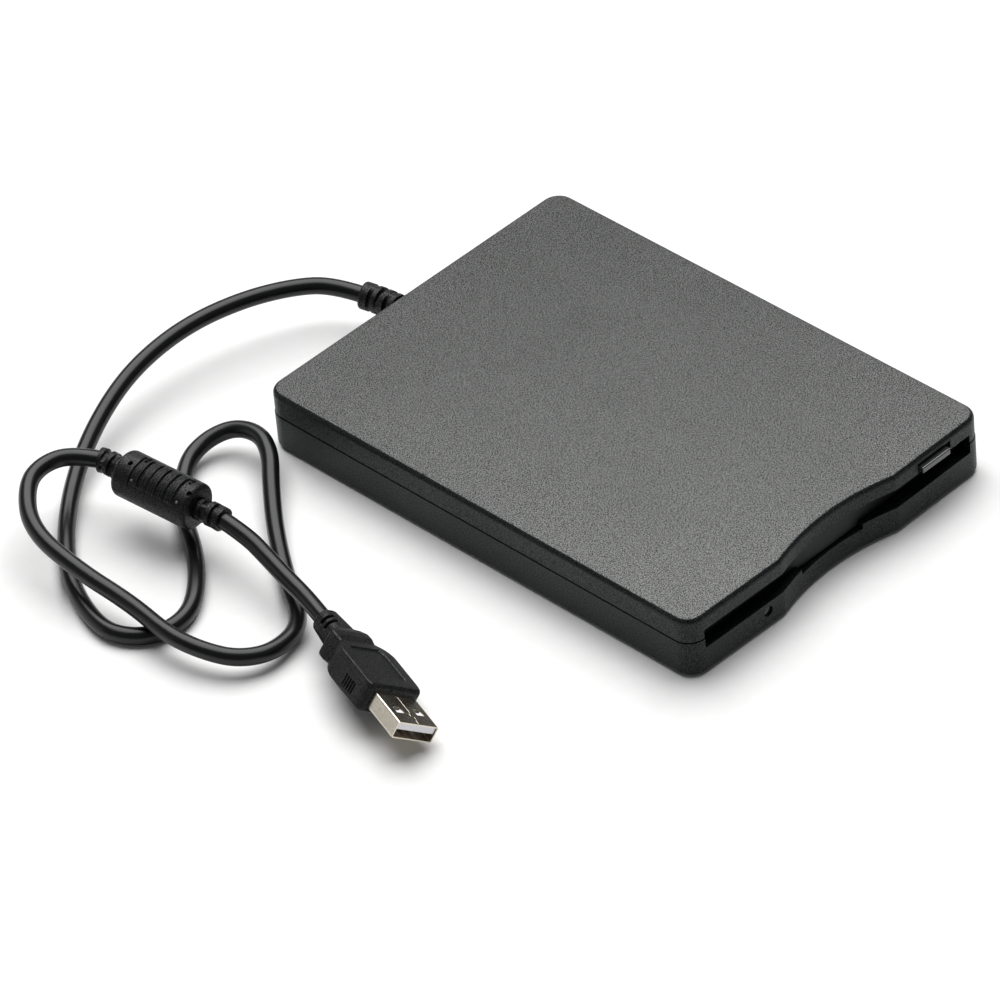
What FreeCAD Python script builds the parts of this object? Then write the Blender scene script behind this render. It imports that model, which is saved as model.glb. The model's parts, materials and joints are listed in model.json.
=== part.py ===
import FreeCAD, Part
import math
import os

# External floppy disk drive with a captive USB lead, in millimetres.
# +Z is up, the front with the disk slot faces -Y, and the origin lies on the table under the case.
# The disk sets the mechanism and the mechanism sets the case: the clearances and walls below add up
# to a case 103 wide, 142.4 deep and 17.4 high.

V = FreeCAD.Vector
X_AXIS = V(1, 0, 0)
Y_AXIS = V(0, 1, 0)
Z_AXIS = V(0, 0, 1)

# ---- Disk ------------------------------------------------------------------------------
DISK_WIDE = 90.0
DISK_TALL = 3.3
DISK_PLAY = 0.4
OUTER_TRACK_R = 39.5
HEAD_TRAVEL = 14.81
SPINDLE_Y = -16.0
RUN_FIT = 0.04

# ---- Case ------------------------------------------------------------------------------
WALL = 1.6
SKIN = 1.5
FOOT_STAND = 0.6
CORNER_R = 5.0
TOP_EDGE_R = 1.5
BOTTOM_EDGE_R = 0.9
LID_TALL = 6.9
PART_GAP = 0.3
UPPER_STEP = 0.15
LIP_THICK = 0.8
LIP_RISE = 1.3
LIP_CLEAR = 0.1
HUB_DEPTH = 55.4
LOBE_FALL = 0.4
LOBE_WALL = 2.0
SCOOP_DEPTH = 3.1
SCOOP_WALL = 0.8
SCOOP_ANGLE = 15.5
SCOOP_R = 65.0
SHOULDER_R = 3.0
POCKET_INSET = 0.6
CASE_SIDE_PLAY = 1.45
CASE_TOP_PLAY = 1.05
USB_BAY = 8.6
BOSS_R = 2.6
SCREW_WALL = 1.2
FOOT_R = 4.0
FOOT_EDGE_R = 0.25
FOOT_SEAT = 0.3
FOOT_INSET_X = 9.5
FOOT_INSET_Y = 15.0

# ---- Front openings --------------------------------------------------------------------
SLOT_INSET = 5.0
SLOT_FLOOR_GAP = 0.3
SLOT_TOP_GAP = 0.1
THUMB_LEFT_X = -11.4
THUMB_RIGHT_X = 10.2
THUMB_DROP = 1.4
BUTTON_INSET = 18.15
BUTTON_WIDE = 9.7
BUTTON_TALL = 1.7
BUTTON_RISE = 0.2
BUTTON_PROUD = 1.0
BUTTON_LONG = 5.9
BUTTON_EDGE_R = 0.35
NOTCH_WIDE = 11.8
NOTCH_SHIFT = 0.45
NOTCH_GAP = 0.9
LENS_INSET = 26.1
LENS_R = 1.4
LENS_SUNK = 0.6
PIPE_R = 0.75

# ---- Screws ----------------------------------------------------------------------------
SCREW_R = 1.0
SCREW_HEAD_R = 1.8
SCREW_HEAD_TALL = 0.7
SCREW_HEAD_PLAY = 0.2
SCREW_SINK = 0.9
SCREW_CROSS = 0.4
SCREW_CROSS_DEEP = 0.3
CHASSIS_SCREW_INSET = 5.0
CHASSIS_SCREW_REAR = 10.8
CASE_SCREW_INSET_X = 4.9
CASE_SCREW_INSET_Y = 4.2
CASE_SCREW_GRIP = 0.5

# ---- Holder, eject slider and shutter lever --------------------------------------------
DROP = 2.2
REST_GAP = 0.15
EJECT_TRAVEL = 4.6
HOLDER_SHEET = 0.6
HOLDER_PLAY = 0.4
HOLDER_LEAD = 1.5
HOLDER_PAST_HUB = 49.0
HOLDER_LIP = 3.6
HEAD_WINDOW_HALF = 9.0
HEAD_WINDOW_PAST_HUB = 17.0
HUB_WINDOW_HALF = 12.0
HUB_WINDOW_FRONT = 26.0
HUB_WINDOW_REAR = 4.0
PIN_R = 0.6
PIN_RISE = 2.5
PIN_END_GAP = 0.1
PIN_FRONT = 14.5
PIN_PAST_HUB = 36.0
SLIDER_SHEET = 0.6
SLIDER_PLAY = 0.2
SLIDER_PLATE = 0.5
SLIDER_RISE = 1.4
SLIDER_BAR = 9.0
SLIDER_SHORT = 3.0
SLIDER_WEB = 3.5
SLIDER_CORNER = 4.0
SLIDER_DOOR_GAP = 1.0
TAB_WIDE = 7.0
TAB_SUNK = 2.4
LEVER_INSET_X = 14.0
LEVER_INSET_Y = 9.0
LEVER_LONG = 20.0
LEVER_WIDE = 2.4
LEVER_ANGLE = 216.87
LEVER_SWING = 50.0
LEVER_SHEET = 0.3
LEVER_GAP = 0.05
LEVER_HUB_R = 2.2
LEVER_TIP_R = 1.5
LEVER_PIVOT_R = 0.7
LEVER_BOSS_R = 1.2
LEVER_PIN_RISE = 1.5

# ---- Chassis, cover and door -----------------------------------------------------------
CHASSIS_SHEET = 0.8
CHASSIS_STAND = 0.7
CHASSIS_TOP_GAP = 0.6
CHASSIS_FRONT_GAP = 2.3
CHASSIS_REAR_GAP = 0.4
CHASSIS_BOSS_R = 2.0
CHASSIS_BOSS_TALL = 1.8
POST_R = 1.5
POST_TALL = 2.95
POST_INSET = 10.0
LEDGE_HALF = 3.0
LEDGE_THICK = 0.76
LEDGE_OFFSET = 8.0
WINDOW_WIDE = 18.0
WINDOW_INSET = 3.2
WINDOW_FRONT = 12.0
WINDOW_REAR = 24.0
COVER_SHEET = 0.4
COVER_PLAY = 0.05
COVER_FLANGE = 4.0
COVER_SCREW_DROP = 2.2
COVER_SCREW_FRONT = 13.2
COVER_SCREW_REAR = 12.8
COVER_SCREW_R = 0.66
COVER_HEAD_R = 1.4
COVER_HEAD_TALL = 0.5
COVER_HOLE_R = 6.0
COVER_HOLE_X = 24.0
DOOR_THICK = 0.8
DOOR_INSET = 2.6
DOOR_GAP = 0.1
DOOR_TOP_GAP = 0.1
DOOR_FLOOR_GAP = 0.25
DOOR_END_GAP = 0.6
DOOR_PIN_R = 0.5
DOOR_NECK_R = 0.4
EAR_DROP = 2.4

# ---- Spindle motor ---------------------------------------------------------------------
MOTOR_BOARD_HALF = 22.0
MOTOR_BOARD_THICK = 0.6
COIL_COUNT = 12
COIL_IN_R = 8.0
COIL_OUT_R = 15.0
COIL_HALF = 1.5
COIL_TALL = 0.9
YOKE_THICK = 1.9
ROTOR_R = 18.0
ROTOR_TALL = 1.8
ROTOR_SHEET = 0.8
ROTOR_DISK_GAP = 0.25
MAGNET_THICK = 0.9
CHUCK_R = 11.5
CHUCK_TALL = 0.4
NOSE_R = 2.0
NOSE_TALL = 1.7
NOSE_CHAMFER = 0.5
DRIVE_PIN_R = 0.9
DRIVE_PIN_AT = 10.0
DRIVE_PIN_TALL = 0.8
SHAFT_R = 1.25
BEARING_R = 3.0
BEARING_FLANGE = 1.2
BEARING_FLANGE_TALL = 0.5

# ---- Head carriage, arm and drive ------------------------------------------------------
CARRIAGE_REACH = 21.4
CARRIAGE_LONG = 9.1
CARRIAGE_HALF = 14.0
CARRIAGE_RIGHT_X = 11.5
CARRIAGE_STAND = 0.4
CARRIAGE_TALL = 6.0
CARRIAGE_RECESS = 3.0
CARRIAGE_RIM = 2.0
ROD_RIM = 5.0
HEAD_HALF = 2.5
HEAD_HALF_LONG = 2.0
HEAD_LEAD = 3.5
HEAD_PLAY = 0.25
HEAD_SUNK = 0.1
HEAD_EDGE_R = 0.3
LOWER_ARM_HALF = 5.0
LOWER_ARM_THICK = 1.8
UPPER_ARM_HALF = 6.0
UPPER_ARM_TIP_HALF = 4.0
UPPER_ARM_THICK = 0.8
UPPER_ARM_DROP = 0.5
ARM_PIVOT_INSET = 2.0
ARM_PIVOT_DROP = 1.3
ARM_BARREL_R = 1.0
ARM_WEB_HALF = 0.8
EAR_THICK = 2.0
EAR_GAP = 0.3
EAR_HALF = 1.5
EAR_RISE = 1.2
HINGE_PIN_R = 0.5
ROD_R = 1.25
ROD_X = -12.0
ROD_RISE = 1.6
ROD_END_GAP = 0.6
CLAMP_HALF = 2.4
CLAMP_LONG = 2.4
CLAMP_GAP = 0.9
LEAD_R = 1.5
LEAD_X = 16.0
LEAD_RISE = 3.6
NUT_HALF = 2.6
NUT_LONG = 3.0
NUT_INSET = 1.1
NUT_GAP = 0.2
STEPPER_R = 3.5
STEPPER_LONG = 9.2
STEPPER_GAP = 1.4
BRACKET_THICK = 0.8
BRACKET_TAB = 0.7
BRACKET_SIDE = 1.5
BRACKET_FOOT = 4.0
JOURNAL_R = 0.6
JOURNAL_LONG = 3.0

# ---- Boards, switches and light --------------------------------------------------------
BOARD_THICK = 0.8
BOARD_STAND = 1.0
BOARD_POST_R = 1.5
BOARD_POST_INSET = 2.0
MAIN_BOARD_INSET = 7.5
MAIN_BOARD_GAP = 2.5
MAIN_BOARD_LONG = 28.5
MAIN_BOARD_REAR = 1.3
CONTROLLER = 10.0
CHIP_TALL = 1.4
RIBBON_WIDE = 13.0
RIBBON_THICK = 0.3
RIBBON_LOOP = 1.6
SOCKET_LONG = 3.5
SOCKET_TALL = 1.6
USB_BOARD_LONG = 55.0
USB_BOARD_STAND = 2.9
USB_BOARD_GAP = 0.8
USB_BOARD_PLAY = 0.4
USB_RIB_INSET = 3.0
USB_RIB_THICK = 1.0
PLUNGER_R = 0.9
PLUNGER_TRAVEL = 1.5
PLUNGER_RISE = 4.4
PLUNGER_EDGE_R = 0.3
SWITCH_HALF = 2.3
SWITCH_TALL = 2.0
SWITCH_BEHIND = 2.5
SWITCH_OUTER_INSET = 9.0
SWITCH_STEP = 6.0
SWITCH_BOARD_FRONT = 6.0
SWITCH_BOARD_REAR = 5.5
SWITCH_BOARD_SIDE = 5.0
LED_HALF = 1.2
LED_LONG = 2.0
LED_TALL = 1.6

# ---- Lead, strain relief and ferrite sleeve --------------------------------------------
CORD_R = 2.2
BOOT_X = -2.4
BOOT_R = 3.6
BOOT_CORE_R = 2.8
BOOT_BASE_R = 4.0
BOOT_BASE_THICK = 2.0
BOOT_HOLE_R = 3.0
BOOT_NECK_R = 2.9
BOOT_FLANGE_HALF = 5.0
BOOT_FLANGE_RISE = 3.5
BOOT_FLANGE_THICK = 2.0
BOOT_COLLAR = 3.0
RING_GAP = 0.9
RING_COUNT = 3
SLEEVE_R = 6.0
SLEEVE_EDGE_R = 1.6
SLEEVE_LONG = 22.9
SLEEVE_GROOVES = 6
SLEEVE_GROOVE_DEPTH = 0.55
SLEEVE_GROOVE_WIDE = 0.9
SLEEVE_GROOVE_STEP = 2.75
SLEEVE_PANEL = 4.25
RELIEF_R = 3.1
RELIEF_CORE_R = 2.6
RELIEF_RING = 1.1
RELIEF_RINGS = 3
RELIEF_SUNK = 1.0

# The lead's route: from the boot's end to the sleeve, and from the sleeve to the plug.
LEAD_ROUTE = [
    (-4.2, 85.2, 10.5), (-7.1, 92.7, 11.6), (-14.6, 98.0, 13.1), (-26.5, 103.3, 14.0),
    (-41.0, 107.0, 13.9), (-55.5, 107.8, 12.5), (-69.2, 106.0, 10.0), (-84.8, 100.4, 6.4),
    (-99.1, 91.6, 3.3), (-111.6, 80.2, 2.3), (-122.2, 66.5, 2.3), (-128.1, 50.5, 2.3),
    (-125.9, 42.3, 2.3), (-119.7, 37.3, 2.3), (-111.8, 37.2, 2.3), (-103.9, 42.2, 2.3),
    (-94.4, 52.2, 2.3), (-85.4, 66.9, 2.4), (-72.9, 78.6, 3.2), (-64.4, 79.9, 4.7),
    (-57.9, 76.2, 6.6), (-56.6, 68.2, 7.8), (-60.3, 60.9, 7.3), (-67.1, 54.0, 5.8),
    (-76.9, 42.8, 3.5), (-86.8, 29.0, 2.3), (-96.3, 13.6, 2.6), (-108.6, 9.9, 4.0),
    (-117.1, 14.0, 5.0), (-121.2, 22.2, 6.1), (-122.7, 31.9, 6.7), (-121.0, 46.3, 7.5),
    (-122.2, 63.2, 9.8), (-121.3, 80.4, 12.8), (-112.0, 91.5, 15.0), (-104.2, 93.7, 15.4),
    (-97.4, 90.5, 15.6), (-94.3, 84.1, 15.3),
]
PLUG_ROUTE = [
    (-89.4, 46.4, 12.7), (-89.3, 38.5, 11.8), (-90.8, 30.4, 10.7),
    (-92.6, 22.1, 9.8), (-94.1, 13.2, 8.7), (-96.6, 5.3, 8.4),
]

# ---- Plug ------------------------------------------------------------------------------
PLUG_ROLL = 34.2
PLUG_WIDE = 12.0
PLUG_TALL = 4.5
PLUG_LONG = 12.0
PLUG_ROOT = 8.0
PLUG_SHEET = 0.35
PLUG_CORNER_R = 0.5
TONGUE_THICK = 1.8
TONGUE_SIDE_GAP = 0.25
TONGUE_SUNK = 0.3
TONGUE_ROOT = 5.0
CONTACT_COUNT = 4
CONTACT_STEP = 2.3
CONTACT_WIDE = 1.0
CONTACT_THICK = 0.2
LATCH_WIDE = 2.2
LATCH_LONG = 2.4
LATCH_AT = 5.4
MOULD_LONG = 34.0
MOULD_WIDE = 15.8
MOULD_TALL = 7.8
NECK_R = 3.1
NECK_EDGE_R = 2.6
NECK_LONG = 9.2
NECK_END_WIDE = 7.4
NECK_END_TALL = 6.8
NECK_SLOT_WIDE = 1.2
NECK_SLOT_DEEP = 0.7
WAIST_AT = 15.0
WAIST_WIDE = 11.2
WAIST_TALL = 7.0
WAIST_EDGE_R = 2.4
BULGE_WIDE = 12.4
BULGE_TALL = 7.5
BULGE_EDGE_R = 2.7
BULGE_START = 9.4
BULGE_SLOPE = 1.8
HEAD_FULL_AT = 21.0
HEAD_CORNER_R = 1.6
HEAD_FLARES = 3
FRONT_BEVEL = 0.7
PANEL_RISE = 0.25
PANEL_EDGE = 1.9
GRIP_RIBS = 4
GRIP_RIB_STEP = 1.5
GRIP_RIB_WIDE = 0.7
GRIP_RIB_RISE = 0.35

# ---- Sizes that follow: across the case ------------------------------------------------
HOLDER_IN = DISK_WIDE / 2 + DISK_PLAY
HOLDER_OUT = HOLDER_IN + HOLDER_SHEET
SLIDER_IN = HOLDER_OUT + HOLDER_PLAY
SLIDER_OUT = SLIDER_IN + SLIDER_SHEET
CHASSIS_IN = SLIDER_OUT + SLIDER_PLAY
CHASSIS_HALF = CHASSIS_IN + CHASSIS_SHEET
COVER_OUT = CHASSIS_HALF + COVER_PLAY + COVER_SHEET
CAVITY_HALF = COVER_OUT + CASE_SIDE_PLAY
HALF = CAVITY_HALF + WALL
SLOT_HALF = HALF - SLOT_INSET
DOOR_HALF = CHASSIS_IN - DOOR_INSET
BUTTON_X = HALF - BUTTON_INSET
LENS_X = LENS_INSET - HALF
LEVER_X = HOLDER_OUT - LEVER_INSET_X
POST_X = CHASSIS_HALF - POST_INSET
SWITCH_OUTER_X = CHASSIS_HALF - SWITCH_OUTER_INSET
SWITCH_INNER_X = SWITCH_OUTER_X - SWITCH_STEP
CHASSIS_SCREW_X = CHASSIS_HALF - CHASSIS_SCREW_INSET
CASE_SCREW_X = CAVITY_HALF - CASE_SCREW_INSET_X
MAIN_BOARD_X = (MAIN_BOARD_INSET - CHASSIS_HALF, -CARRIAGE_HALF - MAIN_BOARD_GAP)
RIBBON_X = (MAIN_BOARD_X[1] - BOARD_POST_INSET - RIBBON_WIDE, MAIN_BOARD_X[1] - BOARD_POST_INSET)
USB_BOARD_X = (RIBBON_X[0] - BOARD_POST_INSET, RIBBON_X[0] - BOARD_POST_INSET + USB_BOARD_LONG)
USB_RIBS_X = (USB_BOARD_X[0] + USB_RIB_INSET, USB_BOARD_X[1] - USB_RIB_INSET)

# ---- Sizes that follow: upwards --------------------------------------------------------
FLOOR_Z = FOOT_STAND + SKIN
CHASSIS_LOW_Z = FLOOR_Z + CHASSIS_STAND
CHASSIS_FLOOR_Z = CHASSIS_LOW_Z + CHASSIS_SHEET
DISK_REST_Z = CHASSIS_FLOOR_Z + POST_TALL
HOLDER_LOW_Z = DISK_REST_Z + DROP - HOLDER_SHEET - REST_GAP
HOLDER_TOP_Z = HOLDER_LOW_Z + 2 * HOLDER_SHEET + DISK_TALL + DISK_PLAY
PIN_Z = HOLDER_LOW_Z + PIN_RISE
LEVER_LOW_Z = HOLDER_TOP_Z + LEVER_GAP
LEVER_TOP_Z = LEVER_LOW_Z + LEVER_SHEET
SLIDER_TOP_Z = LEVER_TOP_Z + LEVER_GAP + SLIDER_PLATE
SLIDER_LOW_Z = CHASSIS_FLOOR_Z + SLIDER_RISE
CHASSIS_TOP_Z = SLIDER_TOP_Z + CHASSIS_TOP_GAP
CEILING_Z = CHASSIS_TOP_Z + COVER_PLAY + COVER_SHEET + CASE_TOP_PLAY
HEIGHT = CEILING_Z + SKIN
PART_Z = HEIGHT - LID_TALL
LOWER_TOP_Z = PART_Z - PART_GAP / 2
UPPER_LOW_Z = PART_Z + PART_GAP / 2
SLOT_LOW_Z = HOLDER_LOW_Z - SLOT_FLOOR_GAP
SLOT_HIGH_Z = HOLDER_TOP_Z + SLOT_TOP_GAP
LEDGE_Z = SLOT_LOW_Z - THUMB_DROP
DOOR_TOP_Z = SLOT_HIGH_Z - DOOR_TOP_GAP
DOOR_LOW_Z = LEDGE_Z + DOOR_FLOOR_GAP
DOOR_PIN_Z = DOOR_TOP_Z - DOOR_THICK / 2
BUTTON_LOW_Z = SLOT_HIGH_Z + BUTTON_RISE
NOTCH_HIGH_Z = BUTTON_LOW_Z + BUTTON_TALL + NOTCH_GAP
SCREW_SEAT_Z = FOOT_STAND + SCREW_SINK
SCREW_HEAD_Z = SCREW_SEAT_Z - SCREW_HEAD_TALL
FOOT_TOP_Z = FOOT_STAND + FOOT_SEAT
MOTOR_TOP_Z = CHASSIS_FLOOR_Z + MOTOR_BOARD_THICK
ROTOR_TOP_Z = DISK_REST_Z - ROTOR_DISK_GAP
CARRIAGE_LOW_Z = CHASSIS_FLOOR_Z + CARRIAGE_STAND
CARRIAGE_TOP_Z = CARRIAGE_LOW_Z + CARRIAGE_TALL
LOWER_ARM_LOW_Z = CARRIAGE_LOW_Z + CARRIAGE_STAND
LOWER_ARM_TOP_Z = LOWER_ARM_LOW_Z + LOWER_ARM_THICK
LOWER_HEAD_TOP_Z = DISK_REST_Z + DISK_TALL / 2 - HEAD_SUNK
UPPER_ARM_LOW_Z = HOLDER_TOP_Z - UPPER_ARM_DROP
ARM_PIVOT_Z = UPPER_ARM_LOW_Z - ARM_PIVOT_DROP
ROD_Z = CHASSIS_FLOOR_Z + ROD_RISE
LEAD_Z = CHASSIS_FLOOR_Z + LEAD_RISE
BOARD_LOW_Z = CHASSIS_FLOOR_Z + BOARD_STAND
BOARD_TOP_Z = BOARD_LOW_Z + BOARD_THICK
USB_BOARD_LOW_Z = FLOOR_Z + USB_BOARD_STAND
USB_BOARD_TOP_Z = USB_BOARD_LOW_Z + BOARD_THICK
SWITCH_BOARD_TOP_Z = CHASSIS_FLOOR_Z + BOARD_THICK
PLUNGER_TOP_Z = CHASSIS_FLOOR_Z + PLUNGER_RISE
LENS_Z = SWITCH_BOARD_TOP_Z + LED_TALL / 2
BOOT_Z = PART_Z
COVER_SCREW_Z = CHASSIS_TOP_Z - COVER_SCREW_DROP

# ---- Sizes that follow: front to back --------------------------------------------------
FRONT_Y = SPINDLE_Y - HUB_DEPTH
LOBE_INSIDE_Y = FRONT_Y + LOBE_WALL
CAVITY_FRONT_Y = FRONT_Y + SCOOP_DEPTH + SCOOP_WALL
DOOR_FRONT_Y = CAVITY_FRONT_Y + DOOR_GAP
DOOR_PIN_Y = DOOR_FRONT_Y + DOOR_THICK / 2
CHASSIS_FRONT_Y = CAVITY_FRONT_Y + CHASSIS_FRONT_GAP
SLIDER_FRONT_Y = DOOR_FRONT_Y + DOOR_THICK + SLIDER_DOOR_GAP + EJECT_TRAVEL
SLIDER_BAR_REAR_Y = SLIDER_FRONT_Y + SLIDER_BAR
TAB_FRONT_Y = FRONT_Y + TAB_SUNK
HOLDER_FRONT_Y = SLIDER_FRONT_Y + HOLDER_LEAD
PIN_FRONT_Y = HOLDER_FRONT_Y + PIN_FRONT
SWITCH_Y = HOLDER_FRONT_Y + SWITCH_BEHIND
LED_FRONT_Y = SWITCH_Y - SWITCH_BOARD_FRONT
HEAD_WINDOW_Y = SPINDLE_Y + HEAD_WINDOW_PAST_HUB
PIN_REAR_Y = SPINDLE_Y + PIN_PAST_HUB
HOLDER_REAR_Y = SPINDLE_Y + HOLDER_PAST_HUB
SLIDER_REAR_Y = HOLDER_REAR_Y - SLIDER_SHORT
LEVER_Y = HOLDER_REAR_Y - LEVER_INSET_Y
HEAD_Y = SPINDLE_Y + OUTER_TRACK_R
ARM_FRONT_Y = HEAD_Y - HEAD_LEAD
CARRIAGE_FRONT_Y = HEAD_Y + CARRIAGE_REACH
CARRIAGE_REAR_Y = CARRIAGE_FRONT_Y + CARRIAGE_LONG
ARM_PIVOT_Y = CARRIAGE_REAR_Y - ARM_PIVOT_INSET
NUT_FRONT_Y = CARRIAGE_FRONT_Y + NUT_INSET
LEAD_FRONT_Y = NUT_FRONT_Y - HEAD_TRAVEL - NUT_GAP - BRACKET_TAB
STEPPER_FRONT_Y = NUT_FRONT_Y + NUT_LONG + STEPPER_GAP + BRACKET_THICK
STEPPER_REAR_Y = STEPPER_FRONT_Y + STEPPER_LONG
CHASSIS_REAR_Y = STEPPER_REAR_Y + CHASSIS_REAR_GAP
ROD_FRONT_Y = CARRIAGE_FRONT_Y - HEAD_TRAVEL - CLAMP_GAP - CLAMP_LONG
ROD_REAR_Y = CHASSIS_REAR_Y - ROD_END_GAP
CAVITY_REAR_Y = CHASSIS_REAR_Y + USB_BAY
REAR_Y = CAVITY_REAR_Y + WALL
CASE_SCREW_Y = CAVITY_REAR_Y - CASE_SCREW_INSET_Y
CHASSIS_SCREWS_Y = (PIN_FRONT_Y, CHASSIS_REAR_Y - CHASSIS_SCREW_REAR)
COVER_SCREWS_Y = (CHASSIS_FRONT_Y + COVER_SCREW_FRONT, CHASSIS_REAR_Y - COVER_SCREW_REAR)
FEET_Y = (FRONT_Y + FOOT_INSET_Y, REAR_Y - FOOT_INSET_Y)
MAIN_BOARD_Y = (CHASSIS_REAR_Y - MAIN_BOARD_REAR - MAIN_BOARD_LONG, CHASSIS_REAR_Y - MAIN_BOARD_REAR)
USB_BOARD_Y = (CHASSIS_REAR_Y + USB_BOARD_GAP, CAVITY_REAR_Y - USB_BOARD_PLAY)

PARTS = {}


# ---- Small builders --------------------------------------------------------------------
def box(x, y, z):
    """Block between three pairs of limits."""
    return Part.makeBox(x[1] - x[0], y[1] - y[0], z[1] - z[0], V(x[0], y[0], z[0]))


def about(middle, half):
    """Pair of limits at the same distance each side of a middle."""
    return (middle - half, middle + half)


def rod(radius, start, end):
    """Cylinder between two points."""
    a, b = V(*start), V(*end)
    return Part.makeCylinder(radius, (b - a).Length, a, b - a)


def rod_x(radius, x, y, z):
    """Cylinder along X at (y, z)."""
    return rod(radius, (x[0], y, z), (x[1], y, z))


def rod_y(radius, x, y, z):
    """Cylinder along Y at (x, z)."""
    return rod(radius, (x, y[0], z), (x, y[1], z))


def disc(radius, x, y, z):
    """Upright cylinder about (x, y) between two heights."""
    return rod(radius, (x, y, z[0]), (x, y, z[1]))


def both_sides(shape):
    """The shape and its mirror image in the plane x = 0."""
    return [shape, shape.mirror(V(0, 0, 0), X_AXIS)]


def union(shapes):
    """All the shapes as one solid where they meet."""
    return shapes[0].multiFuse(shapes[1:]).removeSplitter() if len(shapes) > 1 else shapes[0]


def rounded_wire(corners, radii, z):
    """Closed outline through the corners at height z, each rounded by its own radius."""
    count = len(corners)
    ends = []
    for i in range(count):
        here = V(*corners[i], z)
        before = (V(*corners[i - 1], z) - here).normalize()
        after = (V(*corners[(i + 1) % count], z) - here).normalize()
        half = before.getAngle(after) / 2
        reach = radii[i] / math.tan(half)
        inward = (before + after).normalize()
        middle = here + inward * (radii[i] / math.sin(half) - radii[i])
        ends.append((here + before * reach, middle, here + after * reach))
    edges = []
    for i in range(count):
        start, middle, stop = ends[i]
        edges.append(Part.Arc(start, middle, stop).toShape())
        edges.append(Part.LineSegment(stop, ends[(i + 1) % count][0]).toShape())
    return Part.Wire(edges)


def plate(wire, thick):
    """Solid sheet that stands up from a flat outline."""
    return Part.Face(wire).extrude(V(0, 0, thick))


def rounded_plate(x, y, z, radius):
    """Block with rounded upright edges."""
    corners = [(x[0], y[0]), (x[1], y[0]), (x[1], y[1]), (x[0], y[1])]
    return plate(rounded_wire(corners, [radius] * 4, z[0]), z[1] - z[0])


def edges_at(shape, z):
    """The edges that lie flat at height z."""
    box_of = [(edge, edge.BoundBox) for edge in shape.Edges]
    return [edge for edge, b in box_of if abs(b.ZMin - z) < 1e-4 and abs(b.ZMax - z) < 1e-4]


def pin_slot(x, start, stop, radius):
    """Long hole along X between two (y, z) centres."""
    a, b = V(x[0], *start), V(x[0], *stop)
    along = (b - a).normalize()
    side = V(0, -along.z, along.y)
    edges = [
        Part.LineSegment(a + side * radius, b + side * radius).toShape(),
        Part.Arc(b + side * radius, b + along * radius, b - side * radius).toShape(),
        Part.LineSegment(b - side * radius, a - side * radius).toShape(),
        Part.Arc(a - side * radius, a - along * radius, a + side * radius).toShape(),
    ]
    return Part.Face(Part.Wire(edges)).extrude(V(x[1] - x[0], 0, 0))


def through(x):
    """Limits a little past both faces of a wall, for a cut."""
    return (x[0] - 0.1, x[1] + 0.1)


def keep(name, shape):
    """Note a finished piece under its node name."""
    PARTS[name] = shape


# ---- Case ------------------------------------------------------------------------------
def scoop_corners():
    """Depth and half width of the scoop's sharp outline, before its corners are rounded."""
    slope = math.radians(SCOOP_ANGLE)
    dip = SCOOP_DEPTH + SCOOP_R * (1 / math.cos(slope) - 1)
    return dip, dip / math.tan(slope)


def case_outline(inset, z):
    """Plan outline of the case: rounded corners, two front lobes and the shallow scoop between them."""
    dip, shoulder = scoop_corners()
    corners = [
        (-HALF, FRONT_Y + LOBE_FALL), (-shoulder, FRONT_Y), (0, FRONT_Y + dip),
        (shoulder, FRONT_Y), (HALF, FRONT_Y + LOBE_FALL), (HALF, REAR_Y), (-HALF, REAR_Y),
    ]
    radii = [CORNER_R, SHOULDER_R, -SCOOP_R, SHOULDER_R, CORNER_R, CORNER_R, CORNER_R]
    count = len(corners)
    moved = []
    for i in range(count):
        here = V(*corners[i], 0)
        come = here - V(*corners[i - 1], 0)
        leave = V(*corners[(i + 1) % count], 0) - here
        left = V(-come.y, come.x, 0).normalize()
        right = V(-leave.y, leave.x, 0).normalize()
        shift = (left + right) * (inset / (1 + left.dot(right)))
        moved.append((here.x + shift.x, here.y + shift.y))
    return rounded_wire(moved, [abs(radius - inset) for radius in radii], z)


def cavity(z):
    """The hollow of the case between two heights, with deeper pockets for the door's ends."""
    inside_r = CORNER_R - WALL
    main = rounded_plate(about(0, CAVITY_HALF), (CAVITY_FRONT_Y, CAVITY_REAR_Y), z, inside_r)
    end_y = (LOBE_INSIDE_Y + POCKET_INSET, CAVITY_FRONT_Y + inside_r)
    return [main] + both_sides(box((DOOR_HALF + DOOR_END_GAP, CAVITY_HALF), end_y, z))


def lobe_pocket(z):
    """Hollow behind the right front lobe, which keeps its wall even."""
    start = scoop_corners()[1] + POCKET_INSET
    return box((start, CAVITY_HALF - POCKET_INSET), (LOBE_INSIDE_Y, CAVITY_FRONT_Y + 1), z)


def slot_cut():
    """The disk slot through the front wall, with the thumb dip in its lower edge."""
    run = (FRONT_Y - BUTTON_LONG, CAVITY_FRONT_Y + DOOR_GAP)
    mouth = box(about(0, SLOT_HALF), run, (SLOT_LOW_Z, SLOT_HIGH_Z))
    dip = box((THUMB_LEFT_X, THUMB_RIGHT_X), run, (LEDGE_Z, SLOT_LOW_Z + 0.1))
    return [mouth, dip]


def boot_hole():
    """Round hole of the lead's strain relief, half in each shell."""
    return rod_y(BOOT_HOLE_R, BOOT_X, (CAVITY_REAR_Y - 1, REAR_Y + 1), BOOT_Z)


def foot_places():
    """Plan places of the four feet."""
    x = HALF - FOOT_INSET_X
    return [(side * x, y) for side in (-1, 1) for y in FEET_Y]


def chassis_screw_places():
    """Plan places of the four screws that hold the chassis."""
    return [(side * CHASSIS_SCREW_X, y) for side in (-1, 1) for y in CHASSIS_SCREWS_Y]


def case_screw_places():
    """Plan places of the two screws that hold the shells together."""
    return [(side * CASE_SCREW_X, CASE_SCREW_Y) for side in (-1, 1)]


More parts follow.
